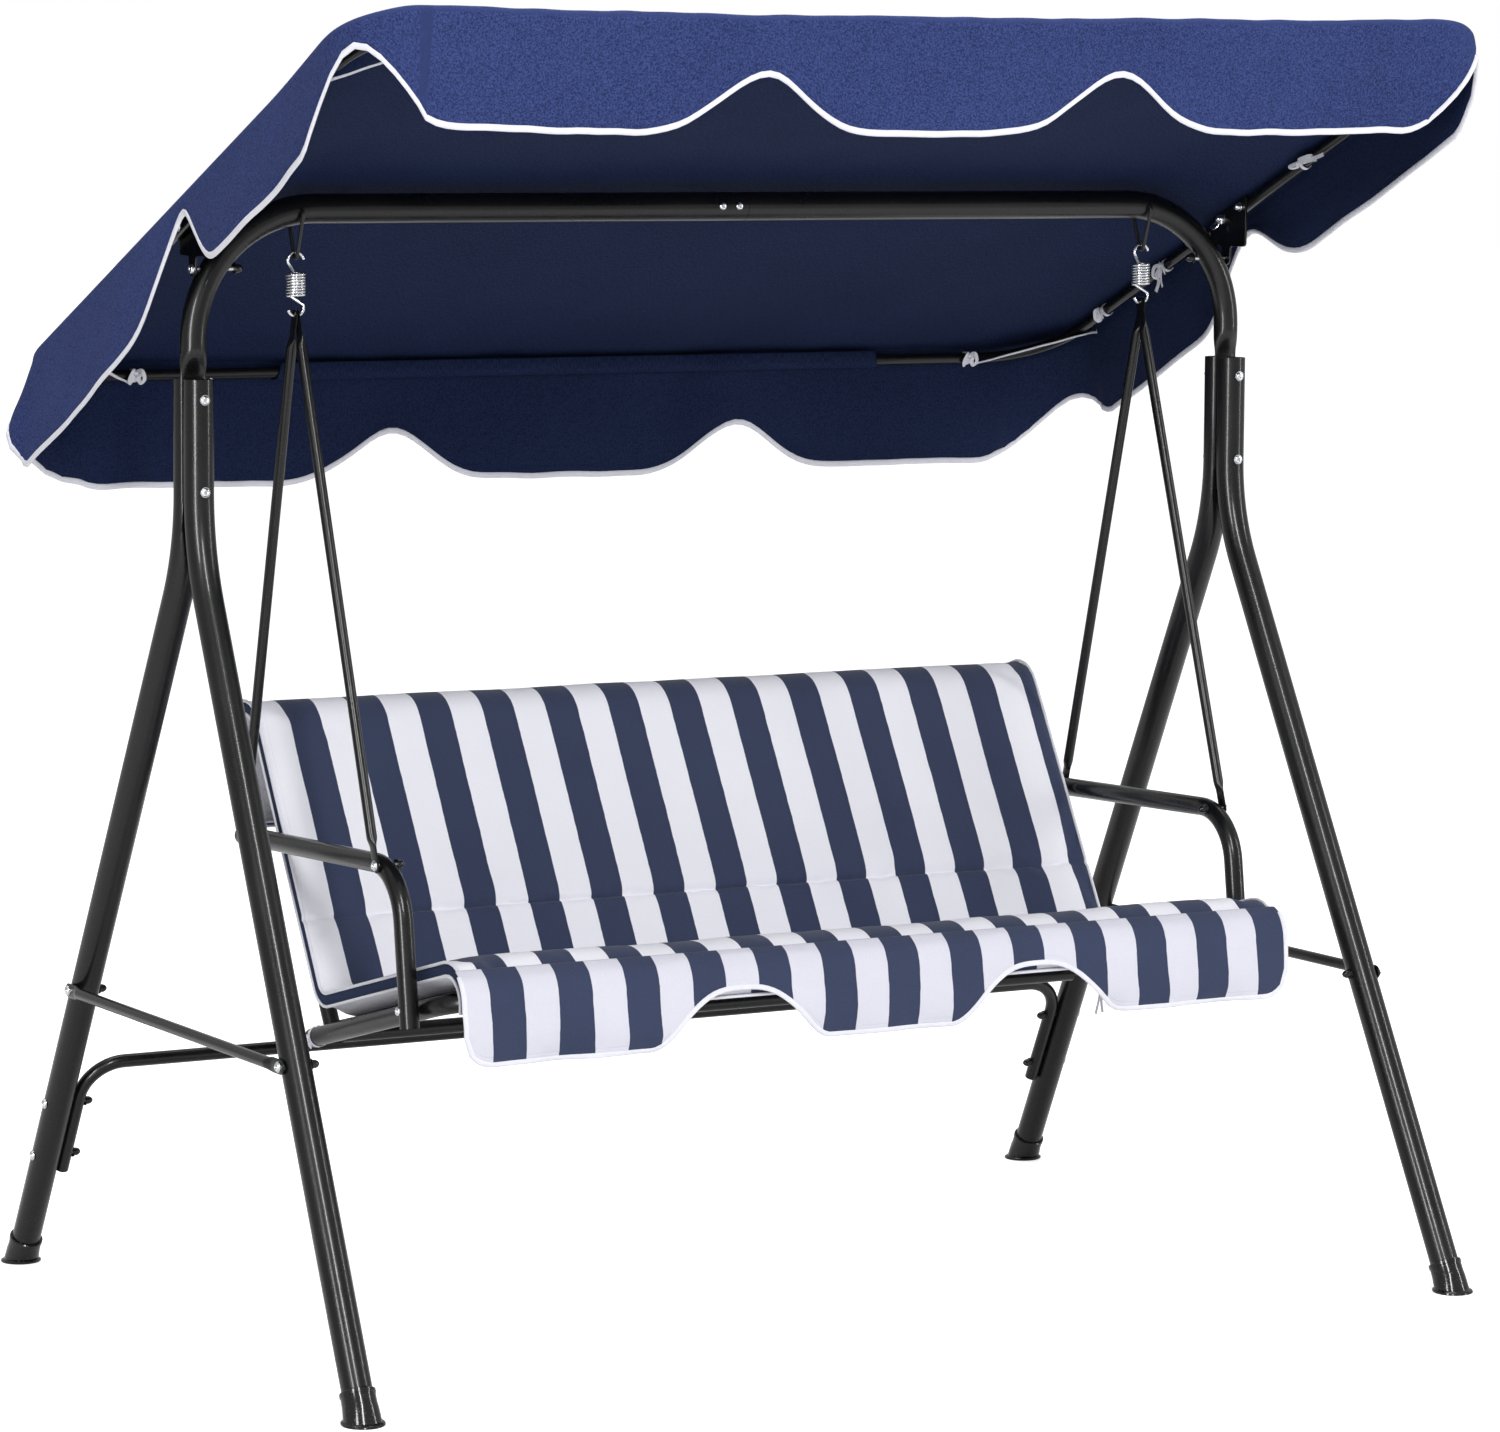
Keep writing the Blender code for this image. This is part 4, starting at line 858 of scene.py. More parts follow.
def make_crossbar(mats):
    """Bar across the rear legs whose ends turn down along the legs' inner sides."""
    inward = LEG_RADIUS + GAP + CROSSBAR_RADIUS
    low, high = leg_axis(1, 1, CROSSBAR_END_Z), leg_axis(1, 1, CROSSBAR_Z)
    x_low, x_high = low.x - inward, high.x - inward
    corners = [(-x_low, low.y, low.z), (-x_high, high.y, high.z),
               (x_high, high.y, high.z), (x_low, low.y, low.z)]
    path = rounded_path(corners, CROSSBAR_BEND_RADIUS)
    shell = sweep(path, even_sections(path, CROSSBAR_RADIUS), (0, 1, 0), 0.0012, 24)
    build("rear_crossbar_fine", [(*shell, mats["coat"])], "stand", ["rear_crossbar"])


def make_splice_bolts(mats):
    """Two bolts through the top tube's sleeve joint."""
    shells = []
    for x in SPLICE_BOLT_X:
        face = Vector((x, -TOP_RADIUS + 0.0003, TOP_AXIS_Z + 0.001))
        shells += [(*round_head(face, (0, -1, 0), 0.0052, 0.0030), mats["zinc"])]
        back = Vector((x, TOP_RADIUS - 0.0003, TOP_AXIS_Z + 0.001))
        shells += [(*cap_nut(back, (0, 1, 0), 0.0052, 0.0085), mats["cap"])]
    build("top_tube_splice_bolts", shells, "stand")


def make_stand(mats):
    for side in SIDES:
        for end in ENDS:
            make_leg(side, end, mats)
            make_foot_cap(side, end, mats)
            dress_bolt(f"brace_bolt_{END_NAME[end]}_{SIDE_NAME[side]}", "stand", 0, side, mats)
        make_top_tube(side, mats)
        make_side_brace(side, mats)
        for label in ("upper", "lower"):
            dress_bolt(f"leg_bolt_{label}_{SIDE_NAME[side]}", "stand", 1, -1, mats)
            dress_bolt(f"crossbar_bolt_{label}_{SIDE_NAME[side]}", "stand", 0, side, mats)
        make_hook(side, mats)
    make_crossbar(mats)
    make_splice_bolts(mats)


# ---------------------------------------------------------------- suspension
def make_hook(side, mats):
    """Wire V through the top tube with a turned eye for the spring at its point."""
    high = TOP_AXIS_Z - 0.0015
    half = HOOK_HALF
    corners = [(-half * 0.5, high), (half, high), (0, HOOK_LOW_Z - 0.0130), (-half, high)]
    closed = [Vector((side * HANG_X, y, z)) for y, z in corners]
    path = rounded_path(closed + [closed[0]], 0.0052, 10)[:-1]
    shell = sweep(path, even_sections(path, HOOK_WIRE), (1, 0, 0), 0.0, 14, loop=True)
    name = "wire_hook_" + SIDE_NAME[side]
    build(name + "_fine", [(*shell, mats["wire"])], "stand", [name])


def make_spring(side, mats):
    """Extension spring: open hook, close coil, open hook."""
    x = side * HANG_X
    low, high = COIL_Z
    radius = SPRING_RADIUS

    def hook(first, sweep_angle, middle_z):
        turns = [math.radians(first + sweep_angle * i / 24) for i in range(25)]
        return [Vector((x + radius * math.cos(a), 0, middle_z + radius * math.sin(a))) for a in turns]

    path = hook(200, 175, SPRING_LOW_Z + radius)
    steps = SPRING_TURNS * 24 + 12
    for i in range(7, steps - 6):
        angle = 2 * math.pi * i / 24
        z = low + (high - low) * i / steps
        path.append(Vector((x + radius * math.cos(angle), radius * math.sin(angle), z)))
    path += hook(185, -175, SPRING_TOP_Z - radius)
    name = "spring_" + SIDE_NAME[side]
    shell = sweep(path, even_sections(path, SPRING_WIRE), (0, 1, 0), 0.0, 12)
    piece = build(name + "_fine", [(*shell, mats["zinc"])], None, [name])
    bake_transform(piece)


def make_hanger(side, end, mats):
    """Round bar with flattened eyes, from the spring's lower hook to the armrest."""
    y, z = ARM_FRONT_BOLT if end < 0 else ARM_REAR_BOLT
    low_x = ARM_X + ARM_RADIUS + GAP + HANGER_PLATE_HALF
    top = Vector((side * (HANG_X + end * HANGER_STAGGER), 0, HANGER_HOLE_Z))
    low = Vector((side * low_x, y, z))
    run = (low - top).normalized()
    shell = flattened_tube([top - run * HANGER_EYE, low + run * HANGER_EYE], HANGER_RADIUS,
                           HANGER_PLATE_HALF, HANGER_FLATS)
    name = END_NAME[end] + "_hanger_" + SIDE_NAME[side]
    build(name + "_fine", [(*shell, mats["coat"])], "seat", [name])


# ---------------------------------------------------------------- seat frame
def in_plane(side, x, pairs):
    return [Vector((side * x, y, z)) for y, z in pairs]


def plain_tube(name, path, radius, first_side, mats, wall=0.0014, body="seat"):
    shell = sweep(path, even_sections(path, radius), first_side, wall, 28)
    build(name + "_fine", [(*shell, mats["coat"])], body, [name])


def end_plug(place, outward, radius, mats):
    """Low domed plastic plug in a tube's open end."""
    profile = [(-0.004, radius * 0.86), (0.0002, radius * 0.86), (0.0004, radius * 0.99),
               (0.0014, radius * 0.96), (0.0022, radius * 0.80), (0.0027, radius * 0.4)]
    return (*turned(place, outward, profile, 24), mats["cap"])


def make_seat_frame(mats):
    for side in SIDES:
        path = rounded_path(in_plane(side, ARM_X, [ARM_REAR, ARM_CORNER, ARM_LOW]), ARM_BEND_RADIUS)
        plain_tube("armrest_" + SIDE_NAME[side], path, ARM_RADIUS, (1, 0, 0), mats)
    seat = in_plane(-1, SEAT_X, [SEAT_REAR, SEAT_FRONT]) + in_plane(1, SEAT_X, [SEAT_FRONT, SEAT_REAR])
    plain_tube("seat_frame", rounded_path(seat, SEAT_CORNER_RADIUS), SEAT_RADIUS, (1, 0, 0), mats)
    back = in_plane(-1, BACK_X, [BACK_LOW, BACK_TOP]) + in_plane(1, BACK_X, [BACK_TOP, BACK_LOW])
    plain_tube("back_frame", rounded_path(back, BACK_CORNER_RADIUS, 8), BACK_RADIUS, (1, 0, 0), mats)
    rail_half = BACK_X - BACK_RADIUS - GAP
    rail = [Vector((-rail_half, *BACK_LOW)), Vector((rail_half, *BACK_LOW))]
    plain_tube("rear_seat_rail", rail, REAR_RAIL_RADIUS, (0, 1, 0), mats)
    for side in SIDES:
        for end in ENDS:
            make_hanger(side, end, mats)
            dress_bolt(f"arm_bolt_{END_NAME[end]}_{SIDE_NAME[side]}", "seat", 0, side, mats)
        make_seat_joints(side, mats)


def make_seat_joints(side, mats):
    """Bolts of the armrest's lower end and of the seat's and the back's side rails."""
    shells = []
    out = Vector((side, 0, 0))
    for y, z, x_head, x_nut in ((*ARM_LOW_BOLT, ARM_X + ARM_RADIUS, SEAT_X - SEAT_RADIUS),
                                (*BACK_JOINT, SEAT_X + SEAT_RADIUS * 0.2, BACK_X - BACK_RADIUS)):
        head = Vector((side * (x_head - 0.0002), y, z))
        nut = Vector((side * (x_nut + 0.0003), y, z))
        shells.append((*round_head(head, out, 0.0055, 0.0030), mats["zinc"]))
        shells.append((*cap_nut(nut, -out, 0.0052, 0.0090), mats["cap"]))
    rear = Vector((side * SEAT_X, *SEAT_REAR))
    run = (rear - Vector((side * SEAT_X, *SEAT_FRONT))).normalized()
    shells.append(end_plug(rear, run, SEAT_RADIUS, mats))
    build("seat_joint_bolts_" + SIDE_NAME[side], shells, "seat")


# ---------------------------------------------------------------- canopy frame
def canopy_point(x, s, n):
    """World point from canopy coordinates: across, down the slope, above the frame."""
    run = Vector((0, math.cos(CANOPY_TILT), -math.sin(CANOPY_TILT)))
    up = Vector((0, math.sin(CANOPY_TILT), math.cos(CANOPY_TILT)))
    return Vector((x, *CANOPY_MID)) + run * s + up * n


def make_canopy_frame(mats):
    x, joint, radius = CANOPY_TUBE_X, CANOPY_JOINT_S, CANOPY_TUBE_RADIUS
    normal = canopy_point(0, 0, 1) - canopy_point(0, 0, 0)
    for end, reach in ((-1, CANOPY_FRONT_S), (1, CANOPY_REAR_S)):
        start = joint + end * GAP
        corners = [(-x, start), (-x, reach), (x, reach), (x, start)]
        path = rounded_path([canopy_point(a, s, 0) for a, s in corners], CANOPY_CORNER)
        sections = even_sections(path, radius)
        if end > 0:
            neck = radius - 0.0012 - GAP
            left = [canopy_point(-x, joint - d, 0) for d in (0.055, 0.0006)]
            right = [canopy_point(x, joint - d, 0) for d in (0.0006, 0.055)]
            path = left + path + right
            sections = [(neck, neck, None)] * 2 + sections + [(neck, neck, None)] * 2
        shell = sweep(path, sections, normal, 0.0012, 22)
        name = f"canopy_{END_NAME[end]}_tube"
        build(name + "_fine", [(*shell, mats["coat"])], "canopy", [name])
    for side in SIDES:
        make_bracket(side, mats)
        dress_bolt("canopy_pivot_bolt_" + SIDE_NAME[side], "stand", 0, side, mats)
        dress_bolt("canopy_lock_bolt_" + SIDE_NAME[side], "canopy", 0, side, mats, nut="zinc")
        make_lock_wing(side, mats)
    make_rear_bar_screw(mats)


def bracket_outline():
    """Plate in YZ: round stem end, shoulders and a top edge along the side tube."""
    half = BRACKET_STEM_HALF
    low, high = BRACKET_SHOULDER_Z
    ease = high - low
    front, rear = BRACKET_FRONT_Y, BRACKET_REAR_Y
    y_pivot, z_pivot = CANOPY_PIVOT
    shape = []
    for i in range(17):
        angle = math.pi + math.pi * i / 16
        shape.append((y_pivot + half * math.cos(angle), z_pivot + half * math.sin(angle)))
    fillet = [(half, BRACKET_STEM_Z), (half + 0.001, BRACKET_STEM_Z + 0.0024), (half + 0.003, low)]
    shape += fillet + [(rear - ease, low), (rear - ease * 0.3, low + ease * 0.3), (rear, high)]
    for y in (rear, front):
        rise = math.tan(CANOPY_TILT) * (CANOPY_MID[0] - y)
        shape.append((y, CANOPY_MID[1] + rise + BRACKET_RISE))
    shape += [(front, high), (front + ease * 0.3, low + ease * 0.3), (front + ease, low)]
    return shape + [(-y, z) for y, z in reversed(fillet)]


def make_bracket(side, mats):
    """Punched plate with softened edges, and the second bolt that holds it to the side tube."""
    shape = bracket_outline()
    count = len(shape)
    points = []
    for x in (BRACKET_X, BRACKET_X + BRACKET_THICKNESS):
        points += [(side * x, y, z) for y, z in shape]
    faces = [(k, (k + 1) % count, (k + 1) % count + count, k + count) for k in range(count)]
    faces += [tuple(range(count)), tuple(reversed(range(count, 2 * count)))]
    name = "canopy_bracket_" + SIDE_NAME[side]
    piece = build(name + "_fine", [(points, faces, mats["coat"])], "canopy", [name], 30)
    edge = piece.modifiers.new("edge", "BEVEL")
    edge.width = 0.0005
    edge.segments = 2
    edge.limit_method = "ANGLE"
    out = Vector((side, 0, 0))
    second = Vector((side * (BRACKET_X + 0.0001), *BRACKET_NUT))
    shells = [(*cap_nut(second, -out, 0.0050, 0.0085), mats["zinc"]),
              (*turned(second, -out, [(0, 0.0065), (0.001, 0.0064)], 24), mats["zinc"])]
    build("canopy_bracket_nut_" + SIDE_NAME[side], shells, "canopy")


def make_lock_wing(side, mats):
    """Wing nut on the inner end of the canopy's lock bolt."""
    low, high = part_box("canopy_lock_bolt_" + SIDE_NAME[side])
    inner = low.x if side > 0 else high.x
    centre = Vector((inner + side * 0.004, (low.y + high.y) / 2, (low.z + high.z) / 2))
    shells = []
    origin = canopy_point(0, 0, 0)
    along, up = canopy_point(0, 1, 0) - origin, canopy_point(0, 0, 1) - origin
    for way in (-1, 1):
        run = along * (way * math.cos(LOCK_WING_DROOP)) - up * math.sin(LOCK_WING_DROOP)
        tip = centre + run * 0.017 - Vector((side * 0.006, 0, 0))
        path = smooth_path([centre, centre + run * 0.007, tip], 6)
        sections = []
        for i in range(len(path)):
            share = i / (len(path) - 1)
            sections.append((0.0011, 0.0026 + 0.0030 * math.sin(math.pi * min(share * 0.85, 1.0)), None))
        shells.append((*sweep(path, sections, (side, 0, 0), 0.0, 14), mats["zinc"]))
    build("canopy_lock_wing_" + SIDE_NAME[side], shells, "canopy")


def make_rear_bar_screw(mats):
    """Small screw in the canopy's rear bar."""
    down = canopy_point(0, 0, 0) - canopy_point(0, 0, 1)
    place = canopy_point(-0.54, CANOPY_REAR_S, 0) + down * (CANOPY_TUBE_RADIUS - 0.0002)
    head = round_head(place, down, 0.0030, 0.0018)
    build("canopy_rear_bar_screw", [(*head, mats["zinc"])], "canopy")


# ---------------------------------------------------------------- cloth helpers
def cloth_piece(name, points, faces, cloth_map, mats, body, nodes=(), thickness=CLOTH, levels=1,
                which=None, painted_shade_inside=False):
    """Sheet of cloth: points, quads, and (across, along, from the edge) for each point."""
    mesh = bpy.data.meshes.new(name)
    mesh.from_pydata([tuple(p) for p in points], [], faces)
    for mat in mats:
        mesh.materials.append(mat)
    if which:
        mesh.polygons.foreach_set("material_index", which)
    layer = mesh.attributes.new("cloth", "FLOAT_VECTOR", "POINT")
    layer.data.foreach_set("vector", np.array(cloth_map, np.float32).ravel())
    mesh.shade_smooth()
    piece = place_piece(name, mesh, body, nodes)
    if thickness:
        solid = piece.modifiers.new("thickness", "SOLIDIFY")
        solid.thickness = thickness
        solid.offset = 0.0
        solid.use_even_offset = False
        # when set, the inner shell takes the second material: for the canopy, the darker copy of its cloth
        # painted as shade
        solid.material_offset = 1 if painted_shade_inside else 0
    if levels:
        subdivide(piece, levels)
    return piece


def subdivide(piece, levels):
    fine = piece.modifiers.new("fine", "SUBSURF")
    fine.levels = levels
    fine.render_levels = levels


def running_length(path):
    total, lengths = 0.0, [0.0]
    for one, two in zip(path, path[1:]):
        total += (Vector(two) - Vector(one)).length
        lengths.append(total)
    return lengths


def edge_binding(path, outwards, ups, half_thick, half_high, closed=True):
    """Tape folded over an edge, as (points, faces): a small rounded profile along the path."""
    count = 10
    points = []
    for place, out, up in zip(path, outwards, ups):
        for k in range(count):
            angle = 2 * math.pi * (k + 0.5) / count
            across, rise = math.cos(angle), math.sin(angle)
            across = math.copysign(abs(across) ** 0.7, across) * half_thick
            rise = math.copysign(abs(rise) ** 0.8, rise) * half_high
            points.append(place + out * across + up * rise)
    return points, tube_faces(len(path), count, closed)


def ribbon(path, width, thick, face_out):
    """Flat tape along a path, with its broad face turned to face_out; returns (points, faces)."""
    path = [Vector(p) for p in path]
    frames = frames_along(path, Vector(face_out).normalized())
    points = []
    for place, (side, up) in zip(path, frames):
        for a, b in ((-1, -1), (-1, 1), (1, 1), (1, -1)):
            points.append(place + side * (a * thick / 2) + up * (b * width / 2))
    return points, tube_faces(len(path), 4)


# ---------------------------------------------------------------- canopy cloth
def cover_lift(x, s):
    """Height of the cloth over the frame's plane, with the ridge over the top tube."""
    ridge = 1 - (math.hypot(s, 0.03) - 0.03) / RIDGE_REACH
    inside = smooth_step((0.785 - abs(x)) / 0.165)
    return COVER_LIFT + COVER_RIDGE * max(ridge, 0.0) * inside


def cover_wrinkles(x, s):
    """Sag between the tubes, puckers behind the front fold and slack at the corners."""
    across = max(0.0, 1 - (x / 0.79) ** 2)
    front = math.sin(math.pi * smooth_step((s - COVER_FRONT_S) / 0.62)) if s < 0 else 0.0
    rear = math.sin(math.pi * smooth_step(s / COVER_REAR_S)) if s > 0 else 0.0
    sag = -0.007 * across * (front + rear)
    pucker = 0.0022 * math.exp(-(s - COVER_FRONT_S) / 0.07) * wave(x * 24, s * 3, 1.7)
    pucker += 0.0020 * math.exp(-(COVER_REAR_S - s) / 0.07) * wave(x * 19, s * 3, 4.1)
    slack = 0.0030 * wave(x * 4.5, s * 4.5, 8.3) + 0.0012 * wave(x * 14, s * 11, 2.9)
    raised = 0.008 * (x / 0.8) ** 2 * smooth_step((-s - 0.35) / 0.25)
    return sag + pucker + slack * across + raised


def hump_rise(away, half):
    """1 at the round top of a hump, down to 0 over its long soft feet."""
    return smooth_step(max(0.0, 1 - away / half) ** HUMP_FOOT_SOFTNESS)


def hump_share(x, centres):
    """1 over a hump between two lobes, 0 away from it."""
    return max(hump_rise(abs(x - centre), HUMP_HALF_WIDTH) for centre in centres)


def end_depth(x, end):
    """Drop of the front or rear valance: three lobes with a hump between each two."""
    lobe = FRONT_LOBE if end < 0 else REAR_LOBE
    low = FRONT_HUMP if end < 0 else REAR_HUMP
    centres = FRONT_HUMP_X if end < 0 else REAR_HUMP_X
    from_start = max(0.0, abs(x) - (COVER_HALF_WIDTH - CORNER_REACH))
    corner = smooth_step((from_start / CORNER_REACH) ** CORNER_SOFTNESS)
    depth = lobe - (lobe - low) * hump_share(x, centres)
    return depth + (CORNER_DEPTH[end] - depth) * corner


def side_depth(side, s):
    """Drop of a side valance: two lobes and a hump over the bracket."""
    front, rear = SIDE_LOBE[side]
    lobe = front + (rear - front) * smooth_step((s + 0.10) / 0.40)
    hump = hump_rise(abs(s - SIDE_HUMP_S[side]), SIDE_HUMP_HALF)
    depth = lobe - (lobe - SIDE_HUMP) * hump
    end = -1 if s < 0 else 1
    from_end = min(s - COVER_FRONT_S, COVER_REAR_S - s)
    corner = 1 - smooth_step((from_end - 0.02) / 0.11)
    return depth + (CORNER_DEPTH[end] - depth) * corner


def rim_depth(x, s, out):
    side = -1 if x < 0 else 1
    end = -1 if s < 0 else 1
    share = smooth_step(abs(out[1]))
    return (1 - share) * side_depth(side, s) + share * end_depth(x, end)


def cover_rows():
    """Rows down the slope, close together in the rounded corners."""
    inner = COVER_CORNER - COVER_FOLD
    quarter = [inner * (1 - math.cos(math.radians(a))) for a in range(0, 90, 9)]
    front, rear = COVER_FRONT_S + COVER_FOLD, COVER_REAR_S - COVER_FOLD
    span = (rear - inner) - (front + inner)
    middle = [front + inner + span * k / 72 for k in range(73)]
    return [front + q for q in quarter] + middle + [rear - q for q in reversed(quarter)]


def cover_half_width(s):
    inner = COVER_CORNER - COVER_FOLD
    from_end = min(s - COVER_FRONT_S - COVER_FOLD, COVER_REAR_S - COVER_FOLD - s)
    half = COVER_HALF_WIDTH - COVER_FOLD
    if from_end >= inner:
        return half
    drop = inner - from_end
    return half - inner + math.sqrt(max(0.0, inner ** 2 - drop ** 2))


def outward_at(x, s):
    """Direction out of the cover's rim, in the cover's plane."""
    straight = COVER_HALF_WIDTH - COVER_CORNER
    front, rear = COVER_FRONT_S + COVER_CORNER, COVER_REAR_S - COVER_CORNER
    past_straight = abs(x) > straight - 1e-6
    if past_straight and front <= s <= rear:
        return Vector((math.copysign(1, x), 0))
    nearest = front if s < front else rear
    if past_straight:
        return Vector((x - math.copysign(straight, x), s - nearest)).normalized()
    return Vector((0, -1 if s < front else 1))


def valance_point(x, s, out, depth, share, along):
    """Point on a valance: share 0 is the fold's end and 1 the lower edge."""
    drop = share * (depth - COVER_FOLD + 0.0018)
    lean = math.tan(CANOPY_TILT) * drop * smooth_step(drop / 0.02 + 0.3)
    flare = 0.16 * abs(out.x) - (0.22 if out.y < 0 else -0.10) * abs(out.y)
    corner = 2 * abs(out.x * out.y)
    flare += corner * CORNER_FLARE[math.copysign(1, x), math.copysign(1, s)]
    ripple = wave(along * 5.2, share * 1.5, 3.3) + 0.55 * wave(along * 13.0, share * 2.0, 6.1)
    gathers = wave(along * 40.0, share * 4.0, 9.2) * math.exp(-share * 5)
    push = 0.0085 * ripple * share ** 1.3 + 0.0012 * gathers
    reach = COVER_FOLD + flare * drop + push
    height = COVER_LIFT + cover_wrinkles(x, s) - COVER_FOLD - drop
    return canopy_point(x + out.x * reach, s + out.y * reach + lean, height)


def make_canopy_cover(mats):
    """One continuous cloth: the cover, its folded rim and the scalloped valances round it."""
    rows = cover_rows()
    columns = 109
    points, cloth_map = [], []
    for s in rows:
        half = cover_half_width(s)
        for k in range(columns):
            x = half * (2 * k / (columns - 1) - 1)
            points.append(canopy_point(x, s, cover_lift(x, s) + cover_wrinkles(x, s)))
            cloth_map.append((x, s, 1.0))
    faces = grid_faces(len(rows), columns)
    rim = grid_rim(len(rows), columns)
    ring = [i * columns + k for i, k in rim]
    lengths = running_length([points[i] for i in ring])
    around = len(ring)
    stations = []
    for (i, k), along in zip(rim, lengths):
        s = rows[i]
        x = cover_half_width(s) * (2 * k / (columns - 1) - 1)
        out = outward_at(x, s)
        depth = rim_depth(x + out.x * COVER_FOLD, s + out.y * COVER_FOLD, out)
        stations.append((x, s, out, depth, along))
    previous = ring
    for turn in (30, 60):
        angle = math.radians(turn)
        start = len(points)
        for x, s, out, _, along in stations:
            reach = COVER_FOLD * math.sin(angle)
            n = COVER_LIFT + cover_wrinkles(x, s) - COVER_FOLD * (1 - math.cos(angle))
            points.append(canopy_point(x + out.x * reach, s + out.y * reach, n))
            cloth_map.append((along, 2.0 + COVER_FOLD * angle, 1.0))
        previous = join_ring(faces, previous, range(start, start + around))
    for share in VALANCE_ROWS:
        start = len(points)
        for x, s, out, depth, along in stations:
            points.append(valance_point(x, s, out, depth, share, along))
            cloth_map.append((along, 2.014 + depth * share, depth * (1 - share)))
        previous = join_ring(faces, previous, range(start, start + around))
    edge = [points[i] for i in previous]
    ups = [(points[i - around] - points[i]).normalized() for i in previous]
    outs = []
    for index, up in enumerate(ups):
        tangent = (edge[(index + 1) % around] - edge[index - 1]).normalized()
        outs.append(up.cross(tangent).normalized())
    centres = [place + up * 0.0012 for place, up in zip(edge, ups)]
    binding = edge_binding(centres, outs, ups, 0.0021, 0.0043)
    tape = build("canopy_binding", [(*binding, mats["tape"])], "canopy", (), 60)
    extras = [tape] + make_corner_pockets(mats) + [make_rear_sleeve(mats)] + make_canopy_ties(mats)
    nodes = ["canopy_top", "valance_front", "valance_rear", "valance_left", "valance_right"]
    # the cover's underside takes the darker copy of the navy cloth: painted shade
    cover = cloth_piece("canopy_cover", points, faces, cloth_map, [mats["navy"], mats["inside"]], "canopy",
                        nodes, painted_shade_inside=True)


def join_ring(faces, inner, outer):
    inner, outer = list(inner), list(outer)
    count = len(inner)
    for k in range(count):
        n = (k + 1) % count
        faces.append((inner[n], inner[k], outer[k], outer[n]))
    return outer


def make_corner_pockets(mats):
    """Cloth pockets under the cover's corners, which slip over the frame's corners."""
    up = canopy_point(0, 0, 1) - canopy_point(0, 0, 0)
    columns, rows = 19, 9
    pieces = []
    for side, end in ((side, end) for side in SIDES for end in ENDS):
        start = Vector((side * 0.660, POCKET_NEAR_S[end]))
        corner = Vector((side * 0.802, POCKET_NEAR_S[end]))
        stop = Vector((side * 0.800, POCKET_FAR_S[end]))
        points, cloth_map = [], []
        for i in range(rows):
            depth = i / (rows - 1)
            for k in range(columns):
                t = k / (columns - 1)
                bent = start * (1 - t) ** 2 + corner * 2 * t * (1 - t) + stop * t ** 2
                place = start.lerp(stop, t).lerp(bent, depth)
                rise = smooth_step(depth) * 0.013 + 0.0012 * wave(place.x * 30, place.y * 30, 5.0)
                points.append(canopy_point(place.x, place.y, -0.0105 + rise))
                cloth_map.append((place.x, place.y, 1.0))
        name = f"canopy_pocket_{END_NAME[end]}_{SIDE_NAME[side]}"
        # the pocket takes the darker copy of the canopy cloth: painted shade
        pocket = cloth_piece(name, points, grid_faces(rows, columns), cloth_map, [mats["inside"]],
                             "canopy", (), LINING)
        inwards = [(points[k] - points[k + columns]).normalized() for k in range(columns)]
        band = edge_binding(points[:columns], [up] * columns, inwards, 0.0013, 0.0028, closed=False)
        trim = build(name + "_binding", [(*band, mats["tape"])], "canopy", (), 60)
        pieces += [pocket, trim]
    return pieces


def make_rear_sleeve(mats):
    """Sleeve sewn under the cover that holds the rear bar; its ends are cut on the slant."""
    around, columns = 15, 66
    radius = CANOPY_TUBE_RADIUS + 0.0022
    points, cloth_map = [], []
    for i in range(around):
        t = i / (around - 1)
        angle = math.pi * (1.02 - 1.04 * t)
        s = CANOPY_REAR_S - radius * math.cos(angle) * (1.0 + 1.4 * (t - 0.5) ** 2)
        n = 0.0095 * abs(2 * t - 1) ** 3 - radius * math.sin(math.pi * t) * 1.05
        for k in range(columns):
            share = k / (columns - 1)
            slant = 0.012 * (1 - t)
            x = SLEEVE_X[0] - slant + (SLEEVE_X[1] - SLEEVE_X[0] + 2 * slant) * share
            soft = 0.0008 * wave(x * 22, t * 3, 7.7)
            points.append(canopy_point(x, s + soft, n + soft))
            cloth_map.append((x, 3.0 + 0.04 * t, 1.0))
    # the sleeve takes the darker copy of the canopy cloth: painted shade
    return cloth_piece("canopy_rear_sleeve", points, grid_faces(around, columns), cloth_map, [mats["inside"]],
                       "canopy", (), LINING)


